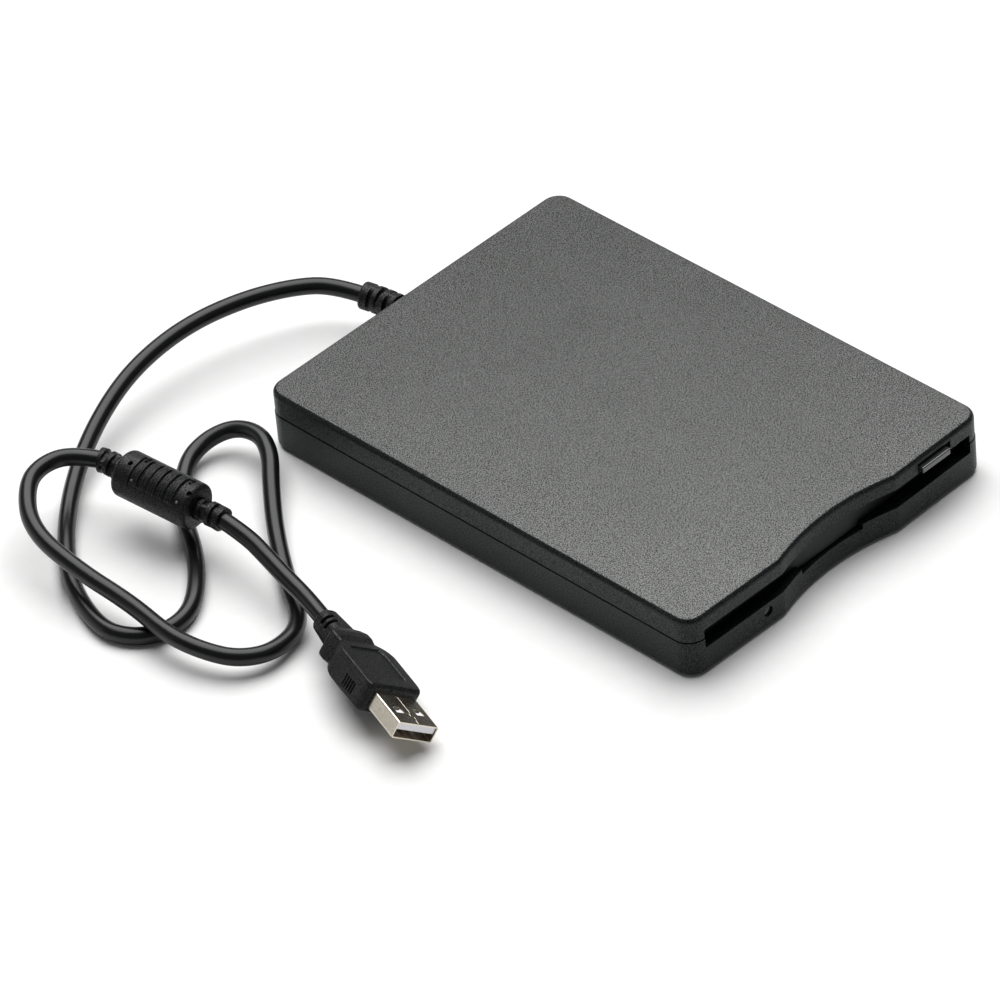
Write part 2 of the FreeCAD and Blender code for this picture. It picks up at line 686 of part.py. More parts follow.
def lip(inset, low, high):
    """Tongue along the parting line, which stops short of the front."""
    front = box(about(0, HALF + 1), (FRONT_Y - 1, CAVITY_FRONT_Y + CORNER_R + inset), (0, HEIGHT))
    return plate(case_outline(inset, low), high - low).cut(front)


def lower_shell():
    """Tray of the case with its lip, bosses, board ribs, slot, lens hole and feet recesses."""
    body = plate(case_outline(0, FOOT_STAND), LOWER_TOP_Z - FOOT_STAND)
    body = body.makeFillet(BOTTOM_EDGE_R, edges_at(body, FOOT_STAND))
    body = union([body, lip(WALL - LIP_THICK, LOWER_TOP_Z - 1, LOWER_TOP_Z + LIP_RISE)])
    hollows = cavity((FLOOR_Z, HEIGHT)) + both_sides(lobe_pocket((FLOOR_Z, LEDGE_Z - SLOT_FLOOR_GAP)))
    solids = [body.cut(hollows)]
    for x, y in chassis_screw_places():
        solids.append(disc(SCREW_HEAD_R + SCREW_WALL, x, y, (FLOOR_Z, CHASSIS_LOW_Z)))
    for x, y in case_screw_places():
        solids.append(disc(BOSS_R, x, y, (FLOOR_Z, CHASSIS_TOP_Z / 2)))
    for x in USB_RIBS_X:
        rib_y = (USB_BOARD_Y[0], CAVITY_REAR_Y)
        solids.append(box(about(x, USB_RIB_THICK / 2), rib_y, (FLOOR_Z, USB_BOARD_LOW_Z)))
    cuts = slot_cut() + [boot_hole()]
    cuts.append(rod_y(LENS_R + RUN_FIT, LENS_X, (FRONT_Y - 1, LOBE_INSIDE_Y + 1), LENS_Z))
    for x, y in chassis_screw_places() + case_screw_places():
        cuts.append(disc(SCREW_HEAD_R + SCREW_HEAD_PLAY, x, y, (0, SCREW_SEAT_Z)))
        cuts.append(disc(SCREW_R + RUN_FIT, x, y, (0, PART_Z)))
    for x, y in foot_places():
        cuts.append(disc(FOOT_R + RUN_FIT, x, y, (0, FOOT_TOP_Z)))
    keep("lower_shell", union(solids).cut(cuts))


def upper_shell():
    """Lid of the case with its rebate, screw bosses, slot and the button's notch."""
    body = plate(case_outline(UPPER_STEP, UPPER_LOW_Z), HEIGHT - UPPER_LOW_Z)
    body = body.makeFillet(TOP_EDGE_R, edges_at(body, HEIGHT))
    rebate = lip(WALL - LIP_THICK - LIP_CLEAR, UPPER_LOW_Z - 1, UPPER_LOW_Z + LIP_RISE - PART_GAP)
    pockets = both_sides(lobe_pocket((SLOT_HIGH_Z + LIP_RISE, CEILING_Z)))
    notch_x = about(BUTTON_X + NOTCH_SHIFT, NOTCH_WIDE / 2)
    around_button = box(about(BUTTON_X, BUTTON_WIDE - 1), (FRONT_Y, 0), (0, HEIGHT))
    pockets[0] = pockets[0].cut(around_button)
    solids = [body.cut(cavity((UPPER_LOW_Z - 1, CEILING_Z)) + [rebate] + pockets)]
    for x, y in case_screw_places():
        solids.append(disc(BOSS_R, x, y, (CHASSIS_TOP_Z / 2, CEILING_Z)))
    cuts = slot_cut() + [boot_hole()]
    notch_y = (FRONT_Y - BUTTON_LONG, CAVITY_FRONT_Y + DOOR_GAP)
    cuts.append(box(notch_x, notch_y, (SLOT_HIGH_Z - 0.1, NOTCH_HIGH_Z)))
    for x, y in case_screw_places():
        cuts.append(disc(SCREW_R, x, y, (0, PART_Z + 2 * CASE_SCREW_GRIP)))
    keep("upper_shell", union(solids).cut(cuts))


def feet():
    """Four rubber feet in their recesses."""
    for i, (x, y) in enumerate(foot_places()):
        pad = disc(FOOT_R, x, y, (0, FOOT_TOP_Z))
        keep(f"foot_{i + 1}", pad.makeFillet(FOOT_EDGE_R, edges_at(pad, 0)))


def screw(x, y, top):
    """Pan-head screw with a cross recess that comes up from under the case."""
    head = disc(SCREW_HEAD_R, x, y, (SCREW_HEAD_Z, SCREW_SEAT_Z))
    bar = box(about(x, SCREW_R), about(y, SCREW_CROSS / 2), (0, SCREW_HEAD_Z + SCREW_CROSS_DEEP))
    cross = bar.copy()
    cross.rotate(V(x, y, 0), Z_AXIS, 90)
    shank = disc(SCREW_R - RUN_FIT, x, y, (SCREW_SEAT_Z, top))
    return union([head, shank]).cut([bar, cross])


def case_screws():
    """Two screws that join the shells and four that hold the chassis."""
    for i, (x, y) in enumerate(case_screw_places()):
        keep(f"case_screw_{i + 1}", screw(x, y, PART_Z + CASE_SCREW_GRIP))
    for i, (x, y) in enumerate(chassis_screw_places()):
        keep(f"chassis_screw_{i + 1}", screw(x, y, CHASSIS_FLOOR_Z + CHASSIS_BOSS_TALL))


# ---- Chassis and cover -----------------------------------------------------------------
def chassis_supports():
    """Bosses, disk posts, slider ledges and board posts that stand up from the chassis floor."""
    solids = []
    for x, y in chassis_screw_places():
        solids.append(disc(CHASSIS_BOSS_R, x, y, (CHASSIS_LOW_Z, CHASSIS_FLOOR_Z + CHASSIS_BOSS_TALL)))
    for y in (PIN_FRONT_Y, PIN_REAR_Y):
        solids += both_sides(disc(POST_R, POST_X, y, (CHASSIS_LOW_Z, DISK_REST_Z)))
    ledge_top = SLIDER_LOW_Z - RUN_FIT
    for y in (PIN_FRONT_Y + LEDGE_OFFSET, PIN_REAR_Y - LEDGE_OFFSET):
        ledge_z = (ledge_top - LEDGE_THICK, ledge_top)
        solids += both_sides(box(through((SLIDER_IN, CHASSIS_IN)), about(y, LEDGE_HALF), ledge_z))
    for x in (MAIN_BOARD_X[0] + BOARD_POST_INSET, MAIN_BOARD_X[1] - BOARD_POST_INSET):
        for y in (MAIN_BOARD_Y[0] + BOARD_POST_INSET, MAIN_BOARD_Y[1] - BOARD_POST_INSET):
            solids.append(disc(BOARD_POST_R, x, y, (CHASSIS_LOW_Z, BOARD_LOW_Z)))
    return solids


def chassis_cuts():
    """Bearing hole, screw holes, pin slots, door pivots and the two floor windows."""
    cuts = [disc(BEARING_R + RUN_FIT, 0, SPINDLE_Y, (0, CHASSIS_FLOOR_Z + 0.1))]
    for x, y in chassis_screw_places():
        cuts.append(disc(SCREW_R, x, y, (0, CHASSIS_FLOOR_Z + CHASSIS_BOSS_TALL + 0.1)))
    wall = through((CHASSIS_IN, CHASSIS_HALF))
    for y in (PIN_FRONT_Y, PIN_REAR_Y):
        cuts += both_sides(pin_slot(wall, (y, PIN_Z), (y, PIN_Z - DROP), PIN_R + RUN_FIT))
    cuts += both_sides(rod_x(DOOR_PIN_R + RUN_FIT, wall, DOOR_PIN_Y, DOOR_PIN_Z))
    for y in COVER_SCREWS_Y:
        cuts += both_sides(rod_x(COVER_SCREW_R + RUN_FIT, wall, y, COVER_SCREW_Z))
    window_x = (CHASSIS_IN - WINDOW_INSET - WINDOW_WIDE, CHASSIS_IN - WINDOW_INSET)
    window_y = (SPINDLE_Y - WINDOW_FRONT, SPINDLE_Y + WINDOW_REAR)
    return cuts + both_sides(rounded_plate(window_x, window_y, (0, CHASSIS_FLOOR_Z + 0.1), CHASSIS_BOSS_R))


def chassis():
    """Folded sheet tray: floor, two side walls with the door's ears, and all that stands on them."""
    run = (CHASSIS_FRONT_Y, CHASSIS_REAR_Y)
    floor = box(about(0, CHASSIS_HALF), run, (CHASSIS_LOW_Z, CHASSIS_FLOOR_Z))
    wall = box((CHASSIS_IN, CHASSIS_HALF), run, (CHASSIS_LOW_Z, CHASSIS_TOP_Z))
    ear_y = (CAVITY_FRONT_Y + DOOR_GAP, CHASSIS_FRONT_Y)
    ear = box((CHASSIS_IN, CHASSIS_HALF), ear_y, (DOOR_PIN_Z - EAR_DROP, CHASSIS_TOP_Z))
    body = union([floor] + both_sides(wall) + both_sides(ear) + chassis_supports())
    keep("chassis", body.cut(chassis_cuts()))


def top_cover():
    """Pressed lid over the chassis with flanges outside its walls."""
    low = CHASSIS_TOP_Z + COVER_PLAY
    run = (CHASSIS_FRONT_Y, CHASSIS_REAR_Y)
    lid = box(about(0, COVER_OUT), run, (low, low + COVER_SHEET))
    flange = box((COVER_OUT - COVER_SHEET, COVER_OUT), run, (low - COVER_FLANGE, low + COVER_SHEET))
    sheet = through((low, low + COVER_SHEET))
    window_y = (SPINDLE_Y + CHUCK_R + ARM_PIVOT_INSET * 4, CARRIAGE_REAR_Y + CARRIAGE_RIM)
    cuts = [rounded_plate(about(0, HEAD_WINDOW_HALF), window_y, sheet, POST_R)]
    cuts += both_sides(disc(COVER_HOLE_R, COVER_HOLE_X, SPINDLE_Y, sheet))
    for y in COVER_SCREWS_Y:
        hole = rod_x(COVER_SCREW_R + RUN_FIT, through((CHASSIS_HALF, COVER_OUT)), y, COVER_SCREW_Z)
        cuts += both_sides(hole)
    keep("top_cover", union([lid] + both_sides(flange)).cut(cuts))


def cover_screws():
    """Four small screws through the cover's flanges into the chassis walls."""
    screws = []
    for y in COVER_SCREWS_Y:
        shank = rod_x(COVER_SCREW_R, (CHASSIS_IN + COVER_PLAY, COVER_OUT), y, COVER_SCREW_Z)
        head = rod_x(COVER_HEAD_R, (COVER_OUT, COVER_OUT + COVER_HEAD_TALL), y, COVER_SCREW_Z)
        screws += both_sides(union([shank, head]))
    keep("cover_screws", Part.makeCompound(screws))


# ---- Eject mechanism -------------------------------------------------------------------
def eject_slider():
    """U-shaped sheet slide: front bar, side webs, flanges with slanted slots and the button's tab."""
    plate_z = (SLIDER_TOP_Z - SLIDER_PLATE, SLIDER_TOP_Z)
    bar = box(about(0, SLIDER_OUT), (SLIDER_FRONT_Y, SLIDER_BAR_REAR_Y), plate_z)
    web = box((SLIDER_OUT - SLIDER_WEB, SLIDER_OUT), (SLIDER_BAR_REAR_Y - 1, SLIDER_REAR_Y), plate_z)
    flange_y = (SLIDER_FRONT_Y + SLIDER_CORNER, SLIDER_REAR_Y)
    flange = box((SLIDER_IN, SLIDER_OUT), flange_y, (SLIDER_LOW_Z, SLIDER_TOP_Z))
    tab = box(about(BUTTON_X, TAB_WIDE / 2), (TAB_FRONT_Y, SLIDER_FRONT_Y + 1), plate_z)
    across = through((SLIDER_IN, SLIDER_OUT))
    cuts = []
    for y in (PIN_FRONT_Y, PIN_REAR_Y):
        slant = pin_slot(across, (y, PIN_Z), (y + EJECT_TRAVEL, PIN_Z - DROP), PIN_R + RUN_FIT)
        cuts += both_sides(slant)
    keep("eject_slider", union([bar, tab] + both_sides(web) + both_sides(flange)).cut(cuts))


def eject_button():
    """Moulded button, rounded at its face, pressed on the slider's tab."""
    face_y = FRONT_Y - BUTTON_PROUD
    body_z = (BUTTON_LOW_Z, BUTTON_LOW_Z + BUTTON_TALL)
    body = box(about(BUTTON_X, BUTTON_WIDE / 2), (face_y, face_y + BUTTON_LONG), body_z)
    front = [edge for edge in body.Edges if abs(edge.BoundBox.YMax - face_y) < 1e-4]
    body = body.makeFillet(BUTTON_EDGE_R, front)
    socket_x = about(BUTTON_X, TAB_WIDE / 2 + RUN_FIT)
    socket_z = (SLIDER_TOP_Z - SLIDER_PLATE - RUN_FIT, SLIDER_TOP_Z + RUN_FIT)
    socket = box(socket_x, (TAB_FRONT_Y - RUN_FIT, face_y + BUTTON_LONG + 1), socket_z)
    keep("eject_button", body.cut(socket))


def arc_slot(radius, half_width, z):
    """Curved long hole about the lever's pivot, as long as the lever's swing."""
    low, high = LEVER_ANGLE - LEVER_SWING, LEVER_ANGLE
    middle = (low + high) / 2
    cap = math.degrees(half_width / radius)

    def at(r, angle):
        turn = math.radians(angle)
        return V(LEVER_X + r * math.cos(turn), LEVER_Y + r * math.sin(turn), z[0])

    outer, inner = radius + half_width, radius - half_width
    edges = [
        Part.Arc(at(outer, low), at(outer, middle), at(outer, high)).toShape(),
        Part.Arc(at(outer, high), at(radius, high + cap), at(inner, high)).toShape(),
        Part.Arc(at(inner, high), at(inner, middle), at(inner, low)).toShape(),
        Part.Arc(at(inner, low), at(radius, low - cap), at(outer, low)).toShape(),
    ]
    return Part.Face(Part.Wire(edges)).extrude(V(0, 0, z[1] - z[0]))


def disk_holder():
    """Folded tray that carries the disk: top plate, side walls, inturned lips and the lever's pivot."""
    run = (HOLDER_FRONT_Y, HOLDER_REAR_Y)
    top = box(about(0, HOLDER_OUT), run, (HOLDER_TOP_Z - HOLDER_SHEET, HOLDER_TOP_Z))
    wall = box((HOLDER_IN, HOLDER_OUT), run, (HOLDER_LOW_Z, HOLDER_TOP_Z))
    turned = box((HOLDER_OUT - HOLDER_LIP, HOLDER_OUT), run, (HOLDER_LOW_Z, HOLDER_LOW_Z + HOLDER_SHEET))
    boss = disc(LEVER_BOSS_R, LEVER_X, LEVER_Y, (HOLDER_TOP_Z - HOLDER_SHEET, LEVER_LOW_Z))
    pivot = disc(LEVER_PIVOT_R, LEVER_X, LEVER_Y, (HOLDER_TOP_Z - HOLDER_SHEET, LEVER_TOP_Z + LEVER_GAP))
    body = union([top] + both_sides(wall) + both_sides(turned) + [boss, pivot])
    sheet = (HOLDER_TOP_Z - HOLDER_SHEET - 0.1, HOLDER_TOP_Z + LEVER_GAP)
    cuts = [box(about(0, HEAD_WINDOW_HALF), (HEAD_WINDOW_Y, HOLDER_REAR_Y + 1), sheet)]
    cuts.append(arc_slot(LEVER_LONG, PIN_R + REST_GAP, sheet))
    hub_y = (SPINDLE_Y - HUB_WINDOW_FRONT, SPINDLE_Y + HUB_WINDOW_REAR)
    cuts.append(rounded_plate(about(0, HUB_WINDOW_HALF), hub_y, sheet, 2 * POST_R))
    for y in (PIN_FRONT_Y, PIN_REAR_Y):
        cuts += both_sides(rod_x(PIN_R, through((HOLDER_IN, HOLDER_OUT)), y, PIN_Z))
    keep("disk_holder", body.cut(cuts))


def holder_pins():
    """Four pins in the holder's walls that ride in the slider's and the chassis's slots."""
    pins = []
    for y in (PIN_FRONT_Y, PIN_REAR_Y):
        pins += both_sides(rod_x(PIN_R, (HOLDER_IN, CHASSIS_HALF - PIN_END_GAP), y, PIN_Z))
    keep("holder_pins", Part.makeCompound(pins))


def shutter_lever():
    """Thin arm on the holder whose pin meets the disk's shutter."""
    turn = math.radians(LEVER_ANGLE)
    tip_x = LEVER_X + LEVER_LONG * math.cos(turn)
    tip_y = LEVER_Y + LEVER_LONG * math.sin(turn)
    z = (LEVER_LOW_Z, LEVER_TOP_Z)
    arm = box((0, LEVER_LONG), about(0, LEVER_WIDE / 2), z)
    arm.rotate(V(0, 0, 0), Z_AXIS, LEVER_ANGLE)
    arm = arm.translated(V(LEVER_X, LEVER_Y, 0))
    stalk = disc(PIN_R, tip_x, tip_y, (HOLDER_LOW_Z + LEVER_PIN_RISE, LEVER_TOP_Z))
    body = union([disc(LEVER_HUB_R, LEVER_X, LEVER_Y, z), arm, disc(LEVER_TIP_R, tip_x, tip_y, z), stalk])
    keep("shutter_lever", body.cut(disc(LEVER_PIVOT_R + RUN_FIT, LEVER_X, LEVER_Y, through(z))))


def slot_door():
    """Flap across the slot, hung from pins at its top corners."""
    flap_y = (DOOR_FRONT_Y, DOOR_FRONT_Y + DOOR_THICK)
    flap = box(about(0, DOOR_HALF), flap_y, (DOOR_LOW_Z, DOOR_TOP_Z))
    low = [edge for edge in edges_at(flap, DOOR_LOW_Z) if edge.Length > DOOR_HALF]
    flap = flap.makeFillet(DOOR_THICK * 0.35, low)
    neck_x = (DOOR_HALF - DOOR_INSET, CHASSIS_IN - SLIDER_PLAY)
    neck = rod_x(DOOR_NECK_R, neck_x, DOOR_PIN_Y, DOOR_PIN_Z)
    journal = rod_x(DOOR_PIN_R, (neck_x[1], CHASSIS_HALF - PIN_END_GAP), DOOR_PIN_Y, DOOR_PIN_Z)
    keep("slot_door", union([flap] + both_sides(neck) + both_sides(journal)))


# ---- Spindle motor ---------------------------------------------------------------------
def hub_disc(radius, z):
    """Disc about the spindle."""
    return disc(radius, 0, SPINDLE_Y, z)


def hub_ring(outer, inner, z):
    """Ring about the spindle."""
    return hub_disc(outer, z).cut(hub_disc(inner, through(z)))


def spindle_stator():
    """Motor board, the coils on it with their yoke, and the flanged bearing."""
    side = about(0, MOTOR_BOARD_HALF)
    board = rounded_plate(side, about(SPINDLE_Y, MOTOR_BOARD_HALF), (CHASSIS_FLOOR_Z, MOTOR_TOP_Z), POST_R)
    keep("motor_board", board.cut(hub_disc(BEARING_R + RUN_FIT, (0, HEIGHT))))
    coil_z = (MOTOR_TOP_Z, MOTOR_TOP_Z + COIL_TALL)
    coils = [hub_ring(COIL_IN_R - 0.1, COIL_IN_R - YOKE_THICK, coil_z)]
    for i in range(COIL_COUNT):
        coil = rounded_plate((COIL_IN_R, COIL_OUT_R), about(0, COIL_HALF), coil_z, COIL_HALF / 2)
        coil.rotate(V(0, 0, 0), Z_AXIS, 360 * i / COIL_COUNT)
        coils.append(coil.translated(V(0, SPINDLE_Y, 0)))
    keep("stator_coils", Part.makeCompound(coils))
    tube = hub_disc(BEARING_R, (CHASSIS_LOW_Z + 0.2, ROTOR_TOP_Z - ROTOR_SHEET - REST_GAP))
    flange = hub_disc(BEARING_R + BEARING_FLANGE, (MOTOR_TOP_Z, MOTOR_TOP_Z + BEARING_FLANGE_TALL))
    bore = hub_disc(SHAFT_R + RUN_FIT, (CHASSIS_LOW_Z + 0.5, HEIGHT))
    keep("spindle_bearing", union([tube, flange]).cut(bore))


def spindle_rotor():
    """Rotor cup with its magnet, shaft, chuck plate, centre nose and drive pin."""
    rotor_z = (ROTOR_TOP_Z - ROTOR_TALL, ROTOR_TOP_Z)
    under_z = (rotor_z[0], ROTOR_TOP_Z - ROTOR_SHEET)
    inside_r = ROTOR_R - ROTOR_SHEET
    cup = hub_ring(ROTOR_R, SHAFT_R, rotor_z)
    keep("spindle_rotor", cup.cut(hub_disc(inside_r, (0, under_z[1]))))
    keep("rotor_magnet", hub_ring(inside_r, inside_r - MAGNET_THICK, under_z))
    keep("spindle_shaft", hub_disc(SHAFT_R, (CHASSIS_LOW_Z + 0.6, ROTOR_TOP_Z)))
    chuck_top = ROTOR_TOP_Z + CHUCK_TALL
    nose_top = ROTOR_TOP_Z + NOSE_TALL
    nose = hub_disc(NOSE_R, (ROTOR_TOP_Z, nose_top))
    nose = nose.makeChamfer(NOSE_CHAMFER, edges_at(nose, nose_top))
    driver = disc(DRIVE_PIN_R, 0, SPINDLE_Y + DRIVE_PIN_AT, (ROTOR_TOP_Z, chuck_top + DRIVE_PIN_TALL))
    keep("chuck_plate", union([hub_disc(CHUCK_R, (ROTOR_TOP_Z, chuck_top)), nose, driver]))


# ---- Head carriage ---------------------------------------------------------------------
def head_carriage():
    """Carriage block with its recess, lower arm, hinge ears and lead-screw nut, and the lower head."""
    run = (CARRIAGE_FRONT_Y, CARRIAGE_REAR_Y)
    block = box((-CARRIAGE_HALF, CARRIAGE_RIGHT_X), run, (CARRIAGE_LOW_Z, CARRIAGE_TOP_Z))
    recess_x = (ROD_RIM - CARRIAGE_HALF, CARRIAGE_RIGHT_X - CARRIAGE_RIM)
    recess_y = (run[0] + CARRIAGE_RECESS, run[1] - CARRIAGE_RIM)
    recess = box(recess_x, recess_y, (CARRIAGE_TOP_Z - CARRIAGE_RECESS, HEIGHT))
    arm_z = (LOWER_ARM_LOW_Z, LOWER_ARM_TOP_Z)
    arm = box(about(0, LOWER_ARM_HALF), (ARM_FRONT_Y, run[0] + 1), arm_z)
    ear_x = (UPPER_ARM_HALF + EAR_GAP, UPPER_ARM_HALF + EAR_GAP + EAR_THICK)
    ear_low = CARRIAGE_TOP_Z - CARRIAGE_RECESS - 1
    ear = box(ear_x, about(ARM_PIVOT_Y, EAR_HALF), (ear_low, ARM_PIVOT_Z + EAR_RISE))
    nut_y = (NUT_FRONT_Y, NUT_FRONT_Y + NUT_LONG)
    nut = box((CARRIAGE_RIGHT_X - 1, LEAD_X + NUT_HALF), nut_y, about(LEAD_Z, NUT_HALF))
    hinge = rod_x(HINGE_PIN_R, about(0, ear_x[1]), ARM_PIVOT_Y, ARM_PIVOT_Z)
    body = union([block.cut(recess), arm, nut, hinge] + both_sides(ear))
    rod_bore = rod_y(ROD_R + RUN_FIT, ROD_X, through(run), ROD_Z)
    screw_bore = rod_y(LEAD_R + RUN_FIT, LEAD_X, run, LEAD_Z)
    keep("head_carriage", body.cut([rod_bore, screw_bore]))
    pad_z = (LOWER_ARM_TOP_Z, LOWER_HEAD_TOP_Z)
    pad = box(about(0, HEAD_HALF), about(HEAD_Y, HEAD_HALF_LONG), pad_z)
    keep("lower_head", pad.makeFillet(HEAD_EDGE_R, edges_at(pad, LOWER_HEAD_TOP_Z)))


def head_arm():
    """Tapered arm on its hinge barrel, which brings the upper head down on the disk."""
    top = UPPER_ARM_LOW_Z + UPPER_ARM_THICK
    rear_y = ARM_PIVOT_Y + ARM_BARREL_R
    corners = [
        (-UPPER_ARM_TIP_HALF, ARM_FRONT_Y), (UPPER_ARM_TIP_HALF, ARM_FRONT_Y),
        (UPPER_ARM_HALF, rear_y), (-UPPER_ARM_HALF, rear_y),
    ]
    radii = [ARM_BARREL_R, ARM_BARREL_R, ARM_BARREL_R / 2, ARM_BARREL_R / 2]
    blade = plate(rounded_wire(corners, radii, UPPER_ARM_LOW_Z), UPPER_ARM_THICK)
    barrel = rod_x(ARM_BARREL_R, about(0, UPPER_ARM_HALF), ARM_PIVOT_Y, ARM_PIVOT_Z)
    web = box(about(0, UPPER_ARM_HALF - 1), about(ARM_PIVOT_Y, ARM_WEB_HALF), (ARM_PIVOT_Z, top))
    bore = rod_x(HINGE_PIN_R + RUN_FIT, about(0, UPPER_ARM_HALF + 1), ARM_PIVOT_Y, ARM_PIVOT_Z)
    keep("head_arm", union([blade, barrel, web]).cut(bore))
    pad_z = (UPPER_ARM_LOW_Z - HEAD_PLAY, UPPER_ARM_LOW_Z)
    keep("upper_head", box(about(0, HEAD_HALF), about(HEAD_Y, HEAD_HALF_LONG), pad_z))


def guide_rod():
    """Ground rod that the carriage slides on, and its two clamps on the chassis floor."""
    bar = rod_y(ROD_R, ROD_X, (ROD_FRONT_Y, ROD_REAR_Y), ROD_Z)
    keep("guide_rod", bar)
    clamps = []
    for y in (ROD_FRONT_Y + CLAMP_LONG / 2, ROD_REAR_Y - CLAMP_LONG / 2):
        block_z = (CHASSIS_FLOOR_Z, ROD_Z + ROD_R - LEVER_GAP)
        block = box(about(ROD_X, CLAMP_HALF), about(y, CLAMP_LONG / 2), block_z)
        clamps.append(block.cut(bar))
    keep("rod_clamps", Part.makeCompound(clamps))


def head_stepper():
    """Lead screw, stepper motor and the bracket that holds both."""
    thread = rod_y(LEAD_R, LEAD_X, (LEAD_FRONT_Y + BRACKET_TAB + NUT_GAP, STEPPER_FRONT_Y), LEAD_Z)
    journal_y = (LEAD_FRONT_Y + RUN_FIT, STEPPER_FRONT_Y + JOURNAL_LONG)
    keep("lead_screw", union([thread, rod_y(JOURNAL_R, LEAD_X, journal_y, LEAD_Z)]))
    can = rod_y(STEPPER_R, LEAD_X, (STEPPER_FRONT_Y, STEPPER_REAR_Y), LEAD_Z)
    keep("stepper_motor", can.cut(rod_y(JOURNAL_R + RUN_FIT, LEAD_X, (0, journal_y[1] + 0.1), LEAD_Z)))
    plate_x = (LEAD_X - STEPPER_R - CARRIAGE_STAND, LEAD_X + STEPPER_R + BRACKET_SIDE)
    side_x = (plate_x[1] - BRACKET_THICK, plate_x[1])
    face_y = (STEPPER_FRONT_Y - BRACKET_THICK, STEPPER_FRONT_Y)
    tab_y = (LEAD_FRONT_Y, LEAD_FRONT_Y + BRACKET_TAB)
    low, high = CHASSIS_FLOOR_Z, LEAD_Z + LEAD_R
    face = box(plate_x, face_y, (low, LEAD_Z + STEPPER_R))
    foot_y = (face_y[0], STEPPER_REAR_Y)
    foot = box((side_x[0], side_x[1] + BRACKET_FOOT), foot_y, (low, low + BRACKET_THICK))
    cheek = box(side_x, (LEAD_FRONT_Y, STEPPER_REAR_Y - JOURNAL_LONG), (low, high))
    tab = box((LEAD_X - LEAD_R, side_x[1]), tab_y, (low, high))
    bores = [
        rod_y(JOURNAL_R + RUN_FIT, LEAD_X, through(tab_y), LEAD_Z),
        rod_y(LEAD_R + RUN_FIT, LEAD_X, through(face_y), LEAD_Z),
    ]
    keep("stepper_bracket", union([face, foot, cheek, tab]).cut(bores))


# ---- Boards, switches and light --------------------------------------------------------
def main_board():
    """Controller board with its chips and the ribbon's socket."""
    keep("main_board", rounded_plate(MAIN_BOARD_X, MAIN_BOARD_Y, (BOARD_LOW_Z, BOARD_TOP_Z), 1.0))
    left, right = MAIN_BOARD_X
    front, rear = MAIN_BOARD_Y
    chip_z = (BOARD_TOP_Z, BOARD_TOP_Z + CHIP_TALL)
    big = CONTROLLER
    socket_y = (rear - BOARD_POST_INSET - SOCKET_LONG, rear - BOARD_POST_INSET)
    socket_z = (BOARD_TOP_Z, BOARD_TOP_Z + SOCKET_TALL)
    chips = [
        box((left + big / 3, left + big * 4 / 3), (front + big * 0.7, front + big * 1.7), chip_z),
        box((right - big * 0.8, right - big * 0.3), (front + big * 0.1, front + big * 0.6), chip_z),
        box((left + big * 0.1, left + big * 0.4), (rear - big, rear - big * 0.65), chip_z),
        box(about(sum(RIBBON_X) / 2, RIBBON_WIDE / 2 + 1), socket_y, socket_z),
    ]
    keep("main_chips", Part.makeCompound(chips))


def usb_board():
    """Bridge board across the rear with its socket, chip and crystal."""
    front, rear = USB_BOARD_Y
    top = USB_BOARD_TOP_Z
    keep("usb_board", rounded_plate(USB_BOARD_X, USB_BOARD_Y, (USB_BOARD_LOW_Z, top), BOARD_THICK / 2))
    right = USB_BOARD_X[1]
    socket_y = (front + USB_BOARD_PLAY, front + USB_BOARD_PLAY + SOCKET_LONG)
    chip_x = (right - CONTROLLER * 1.6, right - CONTROLLER)
    crystal_x = (right - CONTROLLER * 0.8, right - CONTROLLER * 0.3)
    chips = [
        box(about(sum(RIBBON_X) / 2, RIBBON_WIDE / 2 + 1), socket_y, (top, top + SOCKET_TALL)),
        box(chip_x, (front + 1, rear - 1), (top, top + CHIP_TALL)),
        box(crystal_x, (front + 2, rear - 2), (top, top + SOCKET_TALL + BOARD_THICK)),
    ]
    keep("usb_chips", Part.makeCompound(chips))


def ribbon_cable():
    """Flat cable that arches from the main board's socket over the chassis edge to the USB board's."""
    start = V(RIBBON_X[0], MAIN_BOARD_Y[1] - BOARD_POST_INSET, BOARD_TOP_Z + SOCKET_TALL / 2)
    stop = V(RIBBON_X[0], USB_BOARD_Y[0] + USB_BOARD_PLAY, USB_BOARD_TOP_Z + SOCKET_TALL / 2)
    crown = (start + stop) * 0.5 + V(0, 0, RIBBON_LOOP)
    lift = V(0, 0, RIBBON_THICK)
    edges = [
        Part.Arc(start, crown, stop).toShape(),
        Part.LineSegment(stop, stop + lift).toShape(),
        Part.Arc(stop + lift, crown + lift, start + lift).toShape(),
        Part.LineSegment(start + lift, start).toShape(),
    ]
    keep("ribbon_cable", Part.Face(Part.Wire(edges)).extrude(V(RIBBON_WIDE, 0, 0)))


